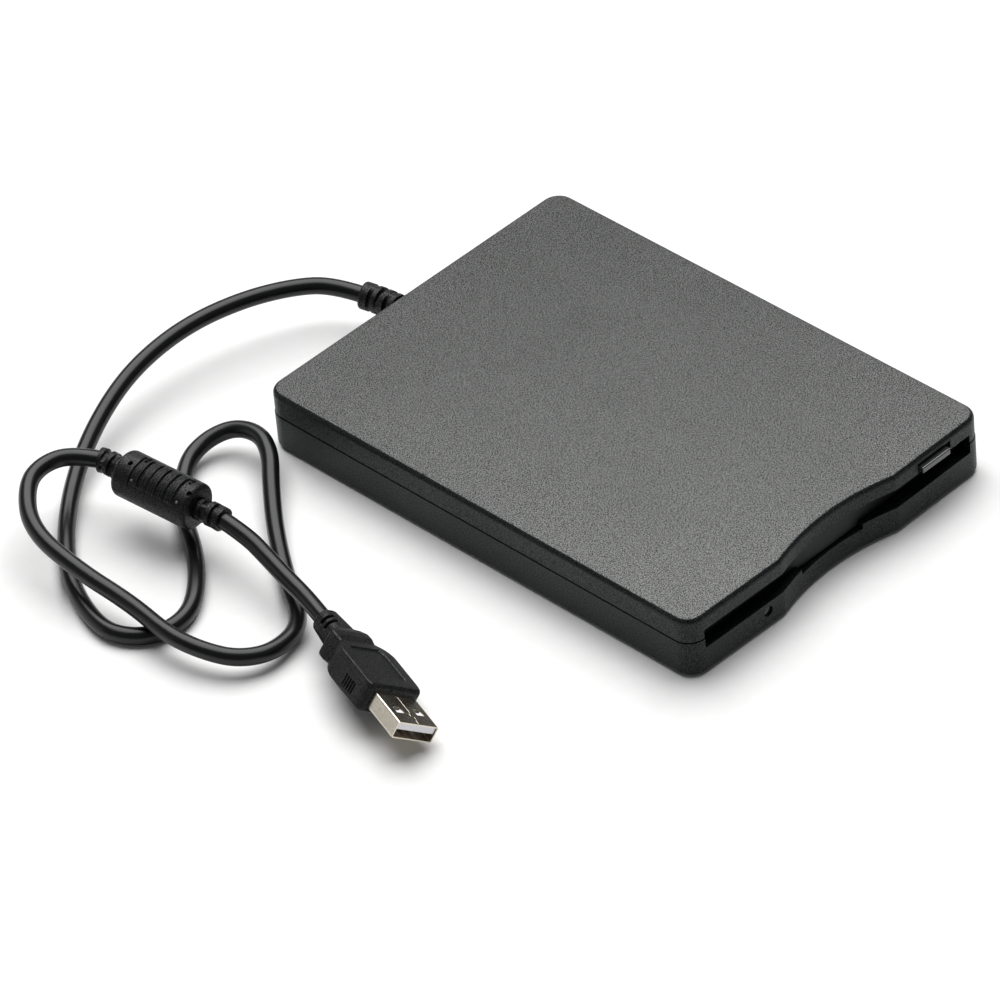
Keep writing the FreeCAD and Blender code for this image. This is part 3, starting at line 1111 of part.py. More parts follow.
def switches():
    """Three disk-sensing switches with their plungers, on two small boards."""
    y = (SWITCH_Y - SWITCH_BOARD_FRONT, SWITCH_Y + SWITCH_BOARD_REAR)
    z = (CHASSIS_FLOOR_Z, SWITCH_BOARD_TOP_Z)
    right_x = (SWITCH_INNER_X - SWITCH_BOARD_SIDE, SWITCH_OUTER_X + SWITCH_BOARD_SIDE)
    left_x = (-SWITCH_OUTER_X - SWITCH_BOARD_SIDE + 1, LENS_X + 2 * LENS_R)
    boards = [rounded_plate(x, y, z, BOARD_THICK / 2) for x in (right_x, left_x)]
    keep("switch_boards", Part.makeCompound(boards))
    body_z = (SWITCH_BOARD_TOP_Z, SWITCH_BOARD_TOP_Z + SWITCH_TALL)
    pin_z = (SWITCH_BOARD_TOP_Z + REST_GAP + PLUNGER_TRAVEL, PLUNGER_TOP_Z)
    bodies = []
    for number, x in enumerate((SWITCH_OUTER_X, SWITCH_INNER_X, -SWITCH_OUTER_X)):
        bore = disc(PLUNGER_R + RUN_FIT, x, SWITCH_Y, (SWITCH_BOARD_TOP_Z + 0.1, HEIGHT))
        bodies.append(box(about(x, SWITCH_HALF), about(SWITCH_Y, SWITCH_HALF), body_z).cut(bore))
        pin = disc(PLUNGER_R, x, SWITCH_Y, pin_z)
        keep(f"plunger_{number + 1}", pin.makeFillet(PLUNGER_EDGE_R, edges_at(pin, PLUNGER_TOP_Z)))
    keep("media_switches", Part.makeCompound(bodies))


def light():
    """Light pipe from the front wall back to the status LED."""
    lens = rod_y(LENS_R, LENS_X, (FRONT_Y + LENS_SUNK, LOBE_INSIDE_Y), LENS_Z)
    pipe = rod_y(PIPE_R, LENS_X, (LOBE_INSIDE_Y - 0.1, LED_FRONT_Y), LENS_Z)
    keep("light_pipe", union([lens, pipe]))
    led_z = (SWITCH_BOARD_TOP_Z, SWITCH_BOARD_TOP_Z + LED_TALL)
    keep("led", box(about(LENS_X, LED_HALF), (LED_FRONT_Y, LED_FRONT_Y + LED_LONG), led_z))


# ---- Lead and ferrite sleeve -----------------------------------------------------------
def direction(points, start, stop):
    """Unit vector from one route point to another."""
    return (V(*points[stop]) - V(*points[start])).normalize()


def route_tube(name, points, radius):
    """Round tube of straight runs joined by tangent arcs, each as large as its two runs allow."""
    here = V(*points[0])
    edges = []
    radii = []
    for i in range(1, len(points) - 1):
        corner = V(*points[i])
        back = V(*points[i - 1]) - corner
        ahead = V(*points[i + 1]) - corner
        reach = 0.45 * min(back.Length, ahead.Length)
        back.normalize()
        ahead.normalize()
        half = back.getAngle(ahead) / 2
        bend = reach * math.tan(half)
        inward = (back + ahead).normalize()
        enter = corner + back * reach
        leave = corner + ahead * reach
        middle = corner + inward * (bend / math.sin(half) - bend)
        edges.append(Part.LineSegment(here, enter).toShape())
        edges.append(Part.Arc(enter, middle, leave).toShape())
        radii.append(bend)
        here = leave
    edges.append(Part.LineSegment(here, V(*points[-1])).toShape())
    path = Part.Wire(edges)
    section = Part.Wire(Part.makeCircle(radius, V(*points[0]), direction(points, 0, 1)))
    solid = path.makePipeShell([section], True, False)
    ratio = solid.Volume / (math.pi * radius ** 2 * path.Length)
    print(name, "length", round(path.Length, 1), "volume ratio", round(ratio, 5))
    print(name, "radii", [round(r, 1) for r in radii])
    return solid


def boot_rings(path, start, end, leave):
    """Base disc, end collar and the evenly spread rings between them, along the bending core."""
    rings = [
        Part.makeCylinder(BOOT_BASE_R, BOOT_BASE_THICK, start, Y_AXIS),
        Part.makeCylinder(BOOT_R, BOOT_COLLAR, end - leave * BOOT_COLLAR, leave),
    ]
    step = (path.Length - BOOT_BASE_THICK - RING_GAP - BOOT_COLLAR) / RING_COUNT
    thick = step - RING_GAP
    for i in range(RING_COUNT):
        place = path.getParameterByLength(BOOT_BASE_THICK + RING_GAP + i * step + thick / 2)
        along = V(*path.tangentAt(place))
        foot = path.valueAt(place) - along * (thick / 2)
        rings.append(Part.makeCylinder(BOOT_R, thick, foot, along))
    return rings


def cord_boot():
    """Moulded strain relief with a flange inside the case and a ringed tail outside."""
    start = V(BOOT_X, REAR_Y, BOOT_Z)
    end = V(*LEAD_ROUTE[0])
    leave = direction(LEAD_ROUTE, 0, 1)
    reach = (end - start).Length / 3
    curve = Part.BezierCurve()
    curve.setPoles([start, start + Y_AXIS * reach, end - leave * reach, end])
    path = curve.toShape()
    section = Part.Wire(Part.makeCircle(BOOT_CORE_R, start, Y_AXIS))
    core = Part.Wire([path]).makePipeShell([section], True, False)
    flange_y = (CAVITY_REAR_Y - BOOT_FLANGE_THICK, CAVITY_REAR_Y)
    neck = rod_y(BOOT_NECK_R, BOOT_X, (flange_y[0], REAR_Y + BOOT_BASE_THICK / 2), BOOT_Z)
    flange = box(about(BOOT_X, BOOT_FLANGE_HALF), flange_y, about(BOOT_Z, BOOT_FLANGE_RISE))
    keep("cord_boot", union([core, neck, flange] + boot_rings(path, start, end, leave)))


def cord_tubes():
    """The lead from the case to the sleeve, and from the sleeve to the plug."""
    keep("cord_tube_1", route_tube("cord_tube_1", LEAD_ROUTE, CORD_R))
    keep("cord_tube_2", route_tube("cord_tube_2", PLUG_ROUTE, CORD_R))


def relief(at, along, long):
    """Ringed neck from the lead's end face to inside the sleeve's end."""
    solids = [Part.makeCylinder(RELIEF_CORE_R, long, at, along)]
    step = long / (RELIEF_RINGS + 0.3)
    for i in range(RELIEF_RINGS):
        solids.append(Part.makeCylinder(RELIEF_R, RELIEF_RING, at + along * (i * step), along))
    return solids


def sleeve_grooves():
    """Grooves across the sleeve's top panel, about the sleeve's own middle."""
    grooves = []
    for i in range(SLEEVE_GROOVES):
        y = (i - (SLEEVE_GROOVES - 1) / 2) * SLEEVE_GROOVE_STEP
        outer = rod_y(SLEEVE_R + 1, 0, about(y, SLEEVE_GROOVE_WIDE / 2), 0)
        inner = rod_y(SLEEVE_R - SLEEVE_GROOVE_DEPTH, 0, about(y, 1), 0)
        panel = box(about(0, SLEEVE_PANEL), about(y, 1), (0, SLEEVE_R + 1))
        grooves.append(outer.cut(inner).common(panel))
    return grooves


def ferrite_sleeve():
    """Ferrite bead in its moulded sleeve: rounded barrel, grooved top and ringed necks at both ends."""
    left = V(*LEAD_ROUTE[-1])
    right = V(*PLUG_ROUTE[0])
    enter = direction(LEAD_ROUTE, -2, -1)
    leave = direction(PLUG_ROUTE, 0, 1)
    axis = (right - left).normalize()
    neck = ((right - left).Length - SLEEVE_LONG) / 2
    start = left + axis * neck
    barrel = Part.makeCylinder(SLEEVE_R, SLEEVE_LONG, start, axis)
    rims = [edge for edge in barrel.Edges if edge.Curve.TypeId == "Part::GeomCircle"]
    barrel = barrel.makeFillet(SLEEVE_EDGE_R, rims)
    across = axis.cross(Z_AXIS).normalize()
    turn = FreeCAD.Rotation(across, axis, across.cross(axis), "ZXY")
    place = FreeCAD.Placement(start + axis * (SLEEVE_LONG / 2), turn)
    long = neck + RELIEF_SUNK
    necks = relief(left, enter, long) + relief(right, leave * -1, long)
    cuts = sleeve_grooves()
    for groove in cuts:
        groove.Placement = place
    keep("ferrite_sleeve", union([barrel] + necks).cut(cuts))


# ---- Plug ------------------------------------------------------------------------------
def plug_frame():
    """Place of the plug: X across, Y from the lead towards the tip, Z out of its upper face."""
    along = direction(PLUG_ROUTE, -2, -1)
    level = along.cross(Z_AXIS).normalize()
    rise = level.cross(along).normalize()
    turn = math.radians(PLUG_ROLL)
    across = level * math.cos(turn) + rise * math.sin(turn)
    up = across.cross(along).normalize()
    return FreeCAD.Placement(V(*PLUG_ROUTE[-1]), FreeCAD.Rotation(across, along, up, "ZXY"))


def blend_solid(sections):
    """Straight-sided solid through rounded rectangles given as (y, width, height, corner radius)."""
    wires = []
    for y, wide, tall, radius in sections:
        x, z = wide / 2, tall / 2
        wire = rounded_wire([(-x, -z), (x, -z), (x, z), (-x, z)], [radius] * 4, 0)
        wire.rotate(V(0, 0, 0), X_AXIS, 90)
        wires.append(wire.translated(V(0, y, 0)))
    return Part.makeLoft(wires, True, True)


def flare_section(share):
    """Section of the head at a share of the way from the waist to where it is full: y, sizes and corner."""
    left = (1 - share) ** 2
    wide = MOULD_WIDE - (MOULD_WIDE - WAIST_WIDE) * left
    tall = MOULD_TALL - (MOULD_TALL - WAIST_TALL) * left ** 2
    corner = HEAD_CORNER_R + (WAIST_EDGE_R - HEAD_CORNER_R) * left
    return WAIST_AT + (HEAD_FULL_AT - WAIST_AT) * share, wide, tall, corner


def grip_body():
    """Neck, bulge, waist and square head of the plug's moulded grip."""
    neck = blend_solid([
        (0, 2 * NECK_R, 2 * NECK_R, NECK_EDGE_R),
        (NECK_LONG + RING_GAP, NECK_END_WIDE, NECK_END_TALL, BULGE_EDGE_R),
    ])
    bulge = blend_solid([
        (NECK_LONG, BULGE_START, NECK_END_TALL, NECK_EDGE_R),
        (NECK_LONG + BULGE_SLOPE, BULGE_WIDE - RING_GAP, BULGE_TALL, BULGE_EDGE_R),
        (WAIST_AT - BULGE_SLOPE, BULGE_WIDE, BULGE_TALL, BULGE_EDGE_R),
        (WAIST_AT, WAIST_WIDE, WAIST_TALL, WAIST_EDGE_R),
    ])
    sections = [flare_section(i / HEAD_FLARES) for i in range(HEAD_FLARES + 1)]
    sections.append((MOULD_LONG - FRONT_BEVEL, MOULD_WIDE, MOULD_TALL, HEAD_CORNER_R))
    end = 2 * FRONT_BEVEL
    sections.append((MOULD_LONG, MOULD_WIDE - end, MOULD_TALL - end, HEAD_CORNER_R - FRONT_BEVEL / 2))
    return [neck, bulge, blend_solid(sections)]


def grip_panels():
    """Raised flat panels on the grip's top and bottom, narrower towards the waist."""
    wide = MOULD_WIDE / 2 - PANEL_EDGE
    narrow = WAIST_WIDE / 2 - PANEL_EDGE
    front, rear = WAIST_AT + 1, MOULD_LONG - PANEL_EDGE
    corners = [
        (-narrow, front), (narrow, front), (wide, HEAD_FULL_AT),
        (wide, rear), (-wide, rear), (-wide, HEAD_FULL_AT),
    ]
    wire = rounded_wire(corners, [0.4] * len(corners), MOULD_TALL / 2 - 1)
    panel = plate(wire, 1 + PANEL_RISE)
    return [panel, panel.mirror(V(0, 0, 0), Z_AXIS)]


def grip_ribs():
    """Short ribs on both side faces of the grip."""
    ribs = []
    face = MOULD_WIDE / 2
    for i in range(GRIP_RIBS):
        y = HEAD_FULL_AT + 2 + i * GRIP_RIB_STEP
        rib = box((face - 0.3, face + GRIP_RIB_RISE), (y, y + GRIP_RIB_WIDE), about(0, PLUG_TALL / 2))
        ribs += both_sides(rib)
    return ribs


def plug_overmould():
    """Moulded grip with two slots across its neck and the shell's socket in its head."""
    socket_y = (MOULD_LONG - PLUG_ROOT, MOULD_LONG + 1)
    cuts = [box(about(0, PLUG_WIDE / 2), socket_y, about(0, PLUG_TALL / 2))]
    for y in (NECK_LONG * 0.35, NECK_LONG * 0.7):
        slot_z = (NECK_R - NECK_SLOT_DEEP, 2 * NECK_R)
        slot = box(about(0, NECK_R - 0.5), about(y, NECK_SLOT_WIDE / 2), slot_z)
        cuts += [slot, slot.mirror(V(0, 0, 0), Z_AXIS)]
    body = union(grip_body() + grip_panels() + grip_ribs()).cut(cuts)
    body.Placement = plug_frame()
    keep("plug_overmould", body)


def plug_shell():
    """Folded metal shell with two latch windows in each broad side."""
    long = PLUG_ROOT + PLUG_LONG
    half_x, half_z = PLUG_WIDE / 2, PLUG_TALL / 2
    outer = rounded_plate(about(0, half_x), about(0, half_z), (0, long), PLUG_CORNER_R)
    inner_x, inner_z = about(0, half_x - PLUG_SHEET), about(0, half_z - PLUG_SHEET)
    inner_r = PLUG_CORNER_R - PLUG_SHEET + RUN_FIT
    shell = outer.cut(rounded_plate(inner_x, inner_z, through((0, long)), inner_r))
    shell.rotate(V(0, 0, 0), X_AXIS, -90)
    shell = shell.translated(V(0, MOULD_LONG - PLUG_ROOT, 0))
    latch_y = (MOULD_LONG + LATCH_AT, MOULD_LONG + LATCH_AT + LATCH_LONG)
    latch = box(about(PLUG_WIDE / 4, LATCH_WIDE / 2), latch_y, about(0, PLUG_TALL))
    shell = shell.cut(both_sides(latch))
    shell.Placement = plug_frame()
    keep("plug_shell", shell)


def plug_tongue():
    """Insulating tongue against the shell's upper wall, with the contacts along its lower face."""
    top = PLUG_TALL / 2 - PLUG_SHEET
    low = top - TONGUE_THICK
    x = about(0, PLUG_WIDE / 2 - PLUG_SHEET - TONGUE_SIDE_GAP)
    y = (MOULD_LONG - PLUG_ROOT + 0.2, MOULD_LONG + PLUG_LONG - TONGUE_SUNK)
    tongue = union([box(x, y, (low, top)), box(x, (y[0], y[0] + TONGUE_ROOT), (-top, top))])
    strips = []
    for i in range(CONTACT_COUNT):
        middle = (i - (CONTACT_COUNT - 1) / 2) * CONTACT_STEP
        strip_y = (y[0] + TONGUE_ROOT, y[1] - CONTACT_WIDE)
        strips.append(box(about(middle, CONTACT_WIDE / 2), strip_y, about(low, CONTACT_THICK / 2)))
    contacts = Part.makeCompound(strips)
    tongue = tongue.cut(strips)
    tongue.Placement = plug_frame()
    contacts.Placement = plug_frame()
    keep("plug_tongue", tongue)
    keep("plug_contacts", contacts)


def build():
    """Make every piece and write one STEP file for each."""
    steps = (
        lower_shell, upper_shell, feet, case_screws, chassis, top_cover, cover_screws, eject_slider,
        eject_button, disk_holder, holder_pins, shutter_lever, slot_door, spindle_stator, spindle_rotor,
        head_carriage, head_arm, guide_rod, head_stepper, main_board, usb_board, ribbon_cable, switches,
        light, cord_boot, cord_tubes, ferrite_sleeve, plug_overmould, plug_shell, plug_tongue,
    )
    for step in steps:
        step()
    os.makedirs("parts", exist_ok=True)
    for name, shape in PARTS.items():
        if not shape.isValid():
            print("not valid:", name)
        shape.exportStep(f"parts/{name}.step")
    print(len(PARTS), "parts, case", 2 * HALF, REAR_Y - FRONT_Y, HEIGHT)


build()
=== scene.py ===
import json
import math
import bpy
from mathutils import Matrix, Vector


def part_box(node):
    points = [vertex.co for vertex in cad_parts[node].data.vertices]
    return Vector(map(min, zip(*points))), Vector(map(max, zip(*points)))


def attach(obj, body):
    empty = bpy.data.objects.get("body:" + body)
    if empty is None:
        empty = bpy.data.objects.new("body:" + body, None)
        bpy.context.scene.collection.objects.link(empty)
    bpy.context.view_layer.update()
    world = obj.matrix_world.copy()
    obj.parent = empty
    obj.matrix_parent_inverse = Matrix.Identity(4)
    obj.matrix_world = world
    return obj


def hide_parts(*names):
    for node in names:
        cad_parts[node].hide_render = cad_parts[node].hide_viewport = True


bl_info = {
    "name": "External Floppy Drive",
    "version": (1, 0, 0),
    "blender": (4, 5, 0),
    "location": "View3D > Sidebar > Drive",
    "description": "Dresses the floppy drive's frame with its lead, moulded pieces, finishes and studio",
    "category": "Object",
}

import bpy
import numpy as np
from mathutils import Matrix, Vector

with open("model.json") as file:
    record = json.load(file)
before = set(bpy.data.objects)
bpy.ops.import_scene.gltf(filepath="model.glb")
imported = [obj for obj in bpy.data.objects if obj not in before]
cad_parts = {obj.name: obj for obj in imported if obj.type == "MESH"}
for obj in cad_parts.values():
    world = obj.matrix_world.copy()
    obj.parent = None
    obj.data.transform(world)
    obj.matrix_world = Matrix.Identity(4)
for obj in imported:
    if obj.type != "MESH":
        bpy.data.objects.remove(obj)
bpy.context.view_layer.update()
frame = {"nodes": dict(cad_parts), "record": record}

Y_AXIS, Z_AXIS = np.eye(3)[1:]
FULL_TURN = 2 * math.pi

# The lead's route in metres: from the case to the ferrite sleeve, then from the sleeve to the plug.
LEAD_ROUTE = [
    (-0.0042, 0.0852, 0.0105), (-0.0071, 0.0927, 0.0116), (-0.0146, 0.0980, 0.0131),
    (-0.0265, 0.1033, 0.0140), (-0.0410, 0.1070, 0.0139), (-0.0555, 0.1078, 0.0125),
    (-0.0692, 0.1060, 0.0100), (-0.0848, 0.1004, 0.0064), (-0.0991, 0.0916, 0.0033),
    (-0.1116, 0.0802, 0.0023), (-0.1222, 0.0665, 0.0023), (-0.1281, 0.0505, 0.0023),
    (-0.1259, 0.0423, 0.0023), (-0.1197, 0.0373, 0.0023), (-0.1118, 0.0372, 0.0023),
    (-0.1039, 0.0422, 0.0023), (-0.0944, 0.0522, 0.0023), (-0.0854, 0.0669, 0.0024),
    (-0.0729, 0.0786, 0.0032), (-0.0644, 0.0799, 0.0047), (-0.0579, 0.0762, 0.0066),
    (-0.0566, 0.0682, 0.0078), (-0.0603, 0.0609, 0.0073), (-0.0671, 0.0540, 0.0058),
    (-0.0769, 0.0428, 0.0035), (-0.0868, 0.0290, 0.0023), (-0.0963, 0.0136, 0.0026),
    (-0.1086, 0.0099, 0.0040), (-0.1171, 0.0140, 0.0050), (-0.1212, 0.0222, 0.0061),
    (-0.1227, 0.0319, 0.0067), (-0.1210, 0.0463, 0.0075), (-0.1222, 0.0632, 0.0098),
    (-0.1213, 0.0804, 0.0128), (-0.1120, 0.0915, 0.0150), (-0.1042, 0.0937, 0.0154),
    (-0.0974, 0.0905, 0.0156), (-0.0943, 0.0841, 0.0153),
]
PLUG_ROUTE = [
    (-0.0894, 0.0464, 0.0127), (-0.0893, 0.0385, 0.0118), (-0.0908, 0.0304, 0.0107),
    (-0.0926, 0.0221, 0.0098), (-0.0941, 0.0132, 0.0087), (-0.0966, 0.0053, 0.0084),
]


# ---- Settings ------------------------------------------------------------------------------------
def colour(code):
    """Linear RGBA of an sRGB hex colour; one of the panel's colours is linear already."""
    if not isinstance(code, str):
        return tuple(code)
    parts = [int(code[i:i + 2], 16) / 255 for i in (1, 3, 5)]
    linear = [c / 12.92 if c <= 0.04045 else ((c + 0.055) / 1.055) ** 2.4 for c in parts]
    return (*linear, 1.0)


def colour_property(name, description, code):
    """A colour given as sRGB hex and stored linear."""
    return bpy.props.FloatVectorProperty(
        name=name, description=description, default=colour(code), size=4, min=0.0, max=1.0, subtype="COLOR",
    )


def length_property(name, description, default):
    """A length in metres that the panel shows with its unit."""
    return bpy.props.FloatProperty(
        name=name, description=description, default=default, unit="LENGTH", subtype="DISTANCE", precision=5,
    )


def angle_property(name, description, default):
    """An angle, stored in radians and shown in degrees."""
    return bpy.props.FloatProperty(
        name=name, description=description, default=math.radians(default), unit="ROTATION", subtype="ANGLE",
    )


class ShadeSettings(bpy.types.PropertyGroup):
    """Colours of the plastics that show most."""

    # Case pits and case peaks are the top's grain colours at the near corner, painted lighter there as a
    # painted sheen.
    case_pits: colour_property("Case pits", "Case's rubbed top, between the peaks of its grain", "#080807")
    case_peaks: colour_property("Case peaks", "Case's rubbed top, on the peaks of its grain", "#747573")
    case_sides: colour_property("Case sides", "Peaks of the grain on the case's sides", "#131717")
    flap: colour_property("Flap", "Slot flap", "#1c1e1e")
    button: colour_property("Button", "Eject button", "#3a3b3c")
    jacket: colour_property("Jacket", "Lead's jacket", "#0e0f0f")
    overmould: colour_property("Overmould", "Strain relief, ferrite sleeve and plug's grip", "#151616")


class LeadSettings(bpy.types.PropertyGroup):
    """Sizes of the lead and its strain relief at the case."""

    radius: length_property("Lead radius", "Outer radius of the cable jacket", 0.0022)
    relief_start: bpy.props.FloatVectorProperty(
        name="Relief start", description="Where the strain relief leaves the rear face",
        default=(-0.0024, 0.0710, 0.0105), subtype="XYZ", unit="LENGTH",
    )
    relief_radius: length_property("Relief radius", "Radius of the strain relief's rings", 0.0036)
    relief_core: length_property("Relief core", "Radius at the bottom of its grooves", 0.0026)


class SleeveSettings(bpy.types.PropertyGroup):
    """Sizes of the moulded sleeve over the ferrite bead."""

    radius: length_property("Sleeve radius", "Radius of the barrel", 0.0060)
    length: length_property("Sleeve length", "Length of the barrel", 0.0229)
    groove_depth: length_property("Groove depth", "Depth of the grooves on top", 0.00055)
    groove_step: length_property("Groove step", "Distance from one groove to the next", 0.00268)
    groove_shift: length_property("Groove shift", "Grooves' offset from the barrel's middle", 0.0007)
    neck_radius: length_property("Neck radius", "Radius of the rings on both necks", 0.0031)
    neck_core: length_property("Neck core", "Radius in the gaps between the rings", 0.0023)


class PlugSettings(bpy.types.PropertyGroup):
    """Turn of the plug, and sizes of its moulded grip and metal shell."""

    roll: angle_property("Plug roll", "Turn of the plug about its own length", 34.2)
    mould_length: length_property("Grip length", "Length of the moulded grip", 0.034)
    mould_width: length_property("Grip width", "Width of the grip's head", 0.0158)
    mould_height: length_property("Grip height", "Height of the grip's head", 0.0078)
    shell_width: length_property("Shell width", "Width of the metal shell", 0.012)
    shell_height: length_property("Shell height", "Height of the metal shell", 0.0045)


class StudioSettings(bpy.types.PropertyGroup):
    """Camera's aim, place and lens."""

    azimuth: angle_property("Azimuth", "Camera's direction about the upright axis", -42.098)
    elevation: angle_property("Elevation", "Camera's height above the horizon", 39.080)
    roll: angle_property("Roll", "Camera's turn about its own line of sight", -5.637)
    place: bpy.props.FloatVectorProperty(
        name="Camera place", description="Where the camera stands", default=(-0.9779, -1.0357, 1.1464),
        subtype="XYZ", unit="LENGTH",
    )
    lens: bpy.props.FloatProperty(
        name="Lens", description="Focal length on a 36 mm sensor", default=271.26, subtype="DISTANCE_CAMERA",
    )


class FinishName(bpy.types.PropertyGroup):
    """Which material finishes a slot."""

    material: bpy.props.StringProperty(name="Material", description="Name of the slot's material", default="")


# ---- Meshes from grids ---------------------------------------------------------------------------
def grid_object(name, grid, slot, look=None, crease=40.0):
    """Dressed mesh through a grid of points in metres, shape (rows, columns, 3), closed round its columns.

    Quad (i, j) joins points (i, j), (i, j+1), (i+1, j+1), (i+1, j), with j taken modulo the columns.
    A fan from the mean of an end row closes each end. Edges of more than crease degrees stay sharp. The
    finish is the slot's, unless look names another one.
    """
    rows, columns = grid.shape[:2]
    corner = np.arange(rows * columns).reshape(rows, columns)
    across = np.roll(corner, -1, axis=1)
    quads = np.stack([corner[:-1], across[:-1], across[1:], corner[1:]], axis=-1).reshape(-1, 4)
    points = np.vstack([grid.reshape(-1, 3), grid[0].mean(0), grid[-1].mean(0)])
    first = np.stack([across[0], corner[0], np.full(columns, rows * columns)], axis=1)
    last = np.stack([corner[-1], across[-1], np.full(columns, rows * columns + 1)], axis=1)
    triangles = np.vstack([first, last])
    mesh = bpy.data.meshes.new(name)
    mesh.vertices.add(len(points))
    mesh.vertices.foreach_set("co", points.ravel())
    loops = np.concatenate([quads.ravel(), triangles.ravel()])
    sizes = np.concatenate([np.full(len(quads), 4), np.full(len(triangles), 3)])
    mesh.loops.add(len(loops))
    mesh.loops.foreach_set("vertex_index", loops)
    mesh.polygons.add(len(sizes))
    mesh.polygons.foreach_set("loop_start", np.concatenate([[0], np.cumsum(sizes)[:-1]]))
    mesh.polygons.foreach_set("use_smooth", np.ones(len(sizes), bool))
    mesh.update(calc_edges=True)
    mesh.set_sharp_from_angle(angle=math.radians(crease))
    piece = bpy.data.objects.new(name, mesh)
    bpy.context.scene.collection.objects.link(piece)
    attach(piece, "case")
    dress(piece, finish(look or slot))
    return piece


def smooth_step(value, low, high):
    """0 below low, 1 above high, and 3t^2 - 2t^3 between."""
    t = np.clip((value - low) / (high - low), 0, 1)
    return t * t * (3 - 2 * t)


def band(value, low, high, edge):
    """1 between two limits and 0 outside, with soft edges of the given width."""
    return smooth_step(value, low - edge, low) * (1 - smooth_step(value, high, high + edge))


def round_ring(side, end, corner):
    """Column pattern of a rounded rectangle: where each column stands, and which way it faces.

    A column is the corner centre (X (w - r), Z (h - r)) plus r times its facing (C, S). X and Z run from
    -1 to 1 along the sides, and (C, S) turns by 90 degrees at each corner.
    """
    run, rise = np.linspace(1, -1, side, endpoint=False), np.linspace(1, -1, end, endpoint=False)
    turn = np.linspace(0, math.pi / 2, corner, endpoint=False)
    quarters = []
    for i, (x, z) in enumerate(((1, 1), (-1, 1), (-1, -1), (1, -1))):
        bend = turn + i * math.pi / 2
        quarters.append(np.stack([x + 0 * bend, z + 0 * bend, np.cos(bend), np.sin(bend)]))
        spot = bend[0] + math.pi / 2
        flat = run if i % 2 == 0 else rise
        across = x * flat if i % 2 == 0 else x + 0 * flat
        upward = z + 0 * flat if i % 2 == 0 else z * flat
        facing = [round(math.cos(spot)) + 0 * flat, round(math.sin(spot)) + 0 * flat]
        quarters.append(np.stack([across, upward, *facing]))
    return np.concatenate(quarters, axis=1)


def frame_of(start, end, roll=0.0):
    """Axes (across, along, up) as columns, for a piece whose length runs from start to end."""
    along = np.subtract(end, start)
    along = along / np.linalg.norm(along)
    level = np.cross(along, Z_AXIS)
    level /= np.linalg.norm(level)
    rise = np.cross(level, along)
    across = level * math.cos(roll) + rise * math.sin(roll)
    return np.stack([across, along, np.cross(across, along)], axis=1)


def bent_grid(start, start_way, end, end_way, rows, columns, radius):
    """Tube about a cubic Bezier: P(t) = sum of Bernstein terms, with ring r(t, a)(cos a u + sin a v).

    radius(length so far, angle) gives the surface's distance from the path.
    """
    start, end = np.array(start), np.array(end)
    reach = np.linalg.norm(end - start) / 3
    poles = np.stack([start, start + start_way * reach, end - end_way * reach, end])
    t = np.linspace(0, 1, rows)[:, None]
    path = (1 - t) ** 3 * poles[0] + 3 * t * (1 - t) ** 2 * poles[1]
    path = path + 3 * t * t * (1 - t) * poles[2] + t ** 3 * poles[3]
    way = np.gradient(path, axis=0)
    way /= np.linalg.norm(way, axis=1, keepdims=True)
    u = np.cross(way, Z_AXIS)
    u /= np.linalg.norm(u, axis=1, keepdims=True)
    v = np.cross(u, way)
    run = np.concatenate([[0], np.cumsum(np.linalg.norm(np.diff(path, axis=0), axis=1))])
    angle = np.linspace(0, FULL_TURN, columns, endpoint=False)
    away = radius(run[:, None], angle[None, :])[..., None]
    ring = np.cos(angle)[None, :, None] * u[:, None] + np.sin(angle)[None, :, None] * v[:, None]
    return path[:, None] + ring * away


# ---- Finishes ------------------------------------------------------------------------------------
# Grain is in metres. Where the real grain is finer than about 0.2 mm it is drawn at 0.2 to 1 mm instead,
# which is as coarse as it has to be to show.
CASE_GRAIN = 0.00028
MOULD_GRAIN = 0.00026
WEAR_SIZE = 0.006

# The case's flat top: how far below its height the texture starts, and over what height it comes in.
TOP_DEPTH = 0.00012
TOP_EDGE = 0.00006
# Painted sheen on the top: the way along which its colour is painted lighter and its gloss raised more and
# more, and from where to where along it, in metres.
PAINTED_SHEEN_WAY = (-0.7, -0.72, 0.0)
PAINTED_SHEEN_FROM, PAINTED_SHEEN_TO = -0.070, 0.085


def add(tree, kind, inputs=None, **settings):
    """A shader node with its settings made and its inputs set, or linked where the value is a socket."""
    made = tree.nodes.new(kind)
    for key, value in settings.items():
        setattr(made, key, value)
    for key, value in (inputs or {}).items():
        if isinstance(value, bpy.types.NodeSocket):
            tree.links.new(value, made.inputs[key])
        else:
            made.inputs[key].default_value = value
    return made


def blank(name):
    """A material's emptied node tree and its surface output."""
    material = bpy.data.materials.new(name)
    material.use_nodes = True
    tree = material.node_tree
    tree.nodes.clear()
    return material, tree, add(tree, "ShaderNodeOutputMaterial")


def grain(tree, size, detail=2.0):
    """Noise whose grains are about size metres across, as a socket from 0 to 1."""
    place = add(tree, "ShaderNodeTexCoord").outputs["Object"]
    noise = add(tree, "ShaderNodeTexNoise", {"Vector": place, "Scale": 1 / size, "Detail": detail})
    return noise.outputs["Fac"]


def ramp(tree, factor, low, high, start=0.3, stop=0.7):
    """Colour ramp between two colours, each sRGB hex or one of the panel's."""
    made = add(tree, "ShaderNodeValToRGB", {"Fac": factor})
    made.color_ramp.elements[0].position = start
    made.color_ramp.elements[1].position = stop
    made.color_ramp.elements[0].color = colour(low)
    made.color_ramp.elements[1].color = colour(high)
    return made.outputs["Color"]


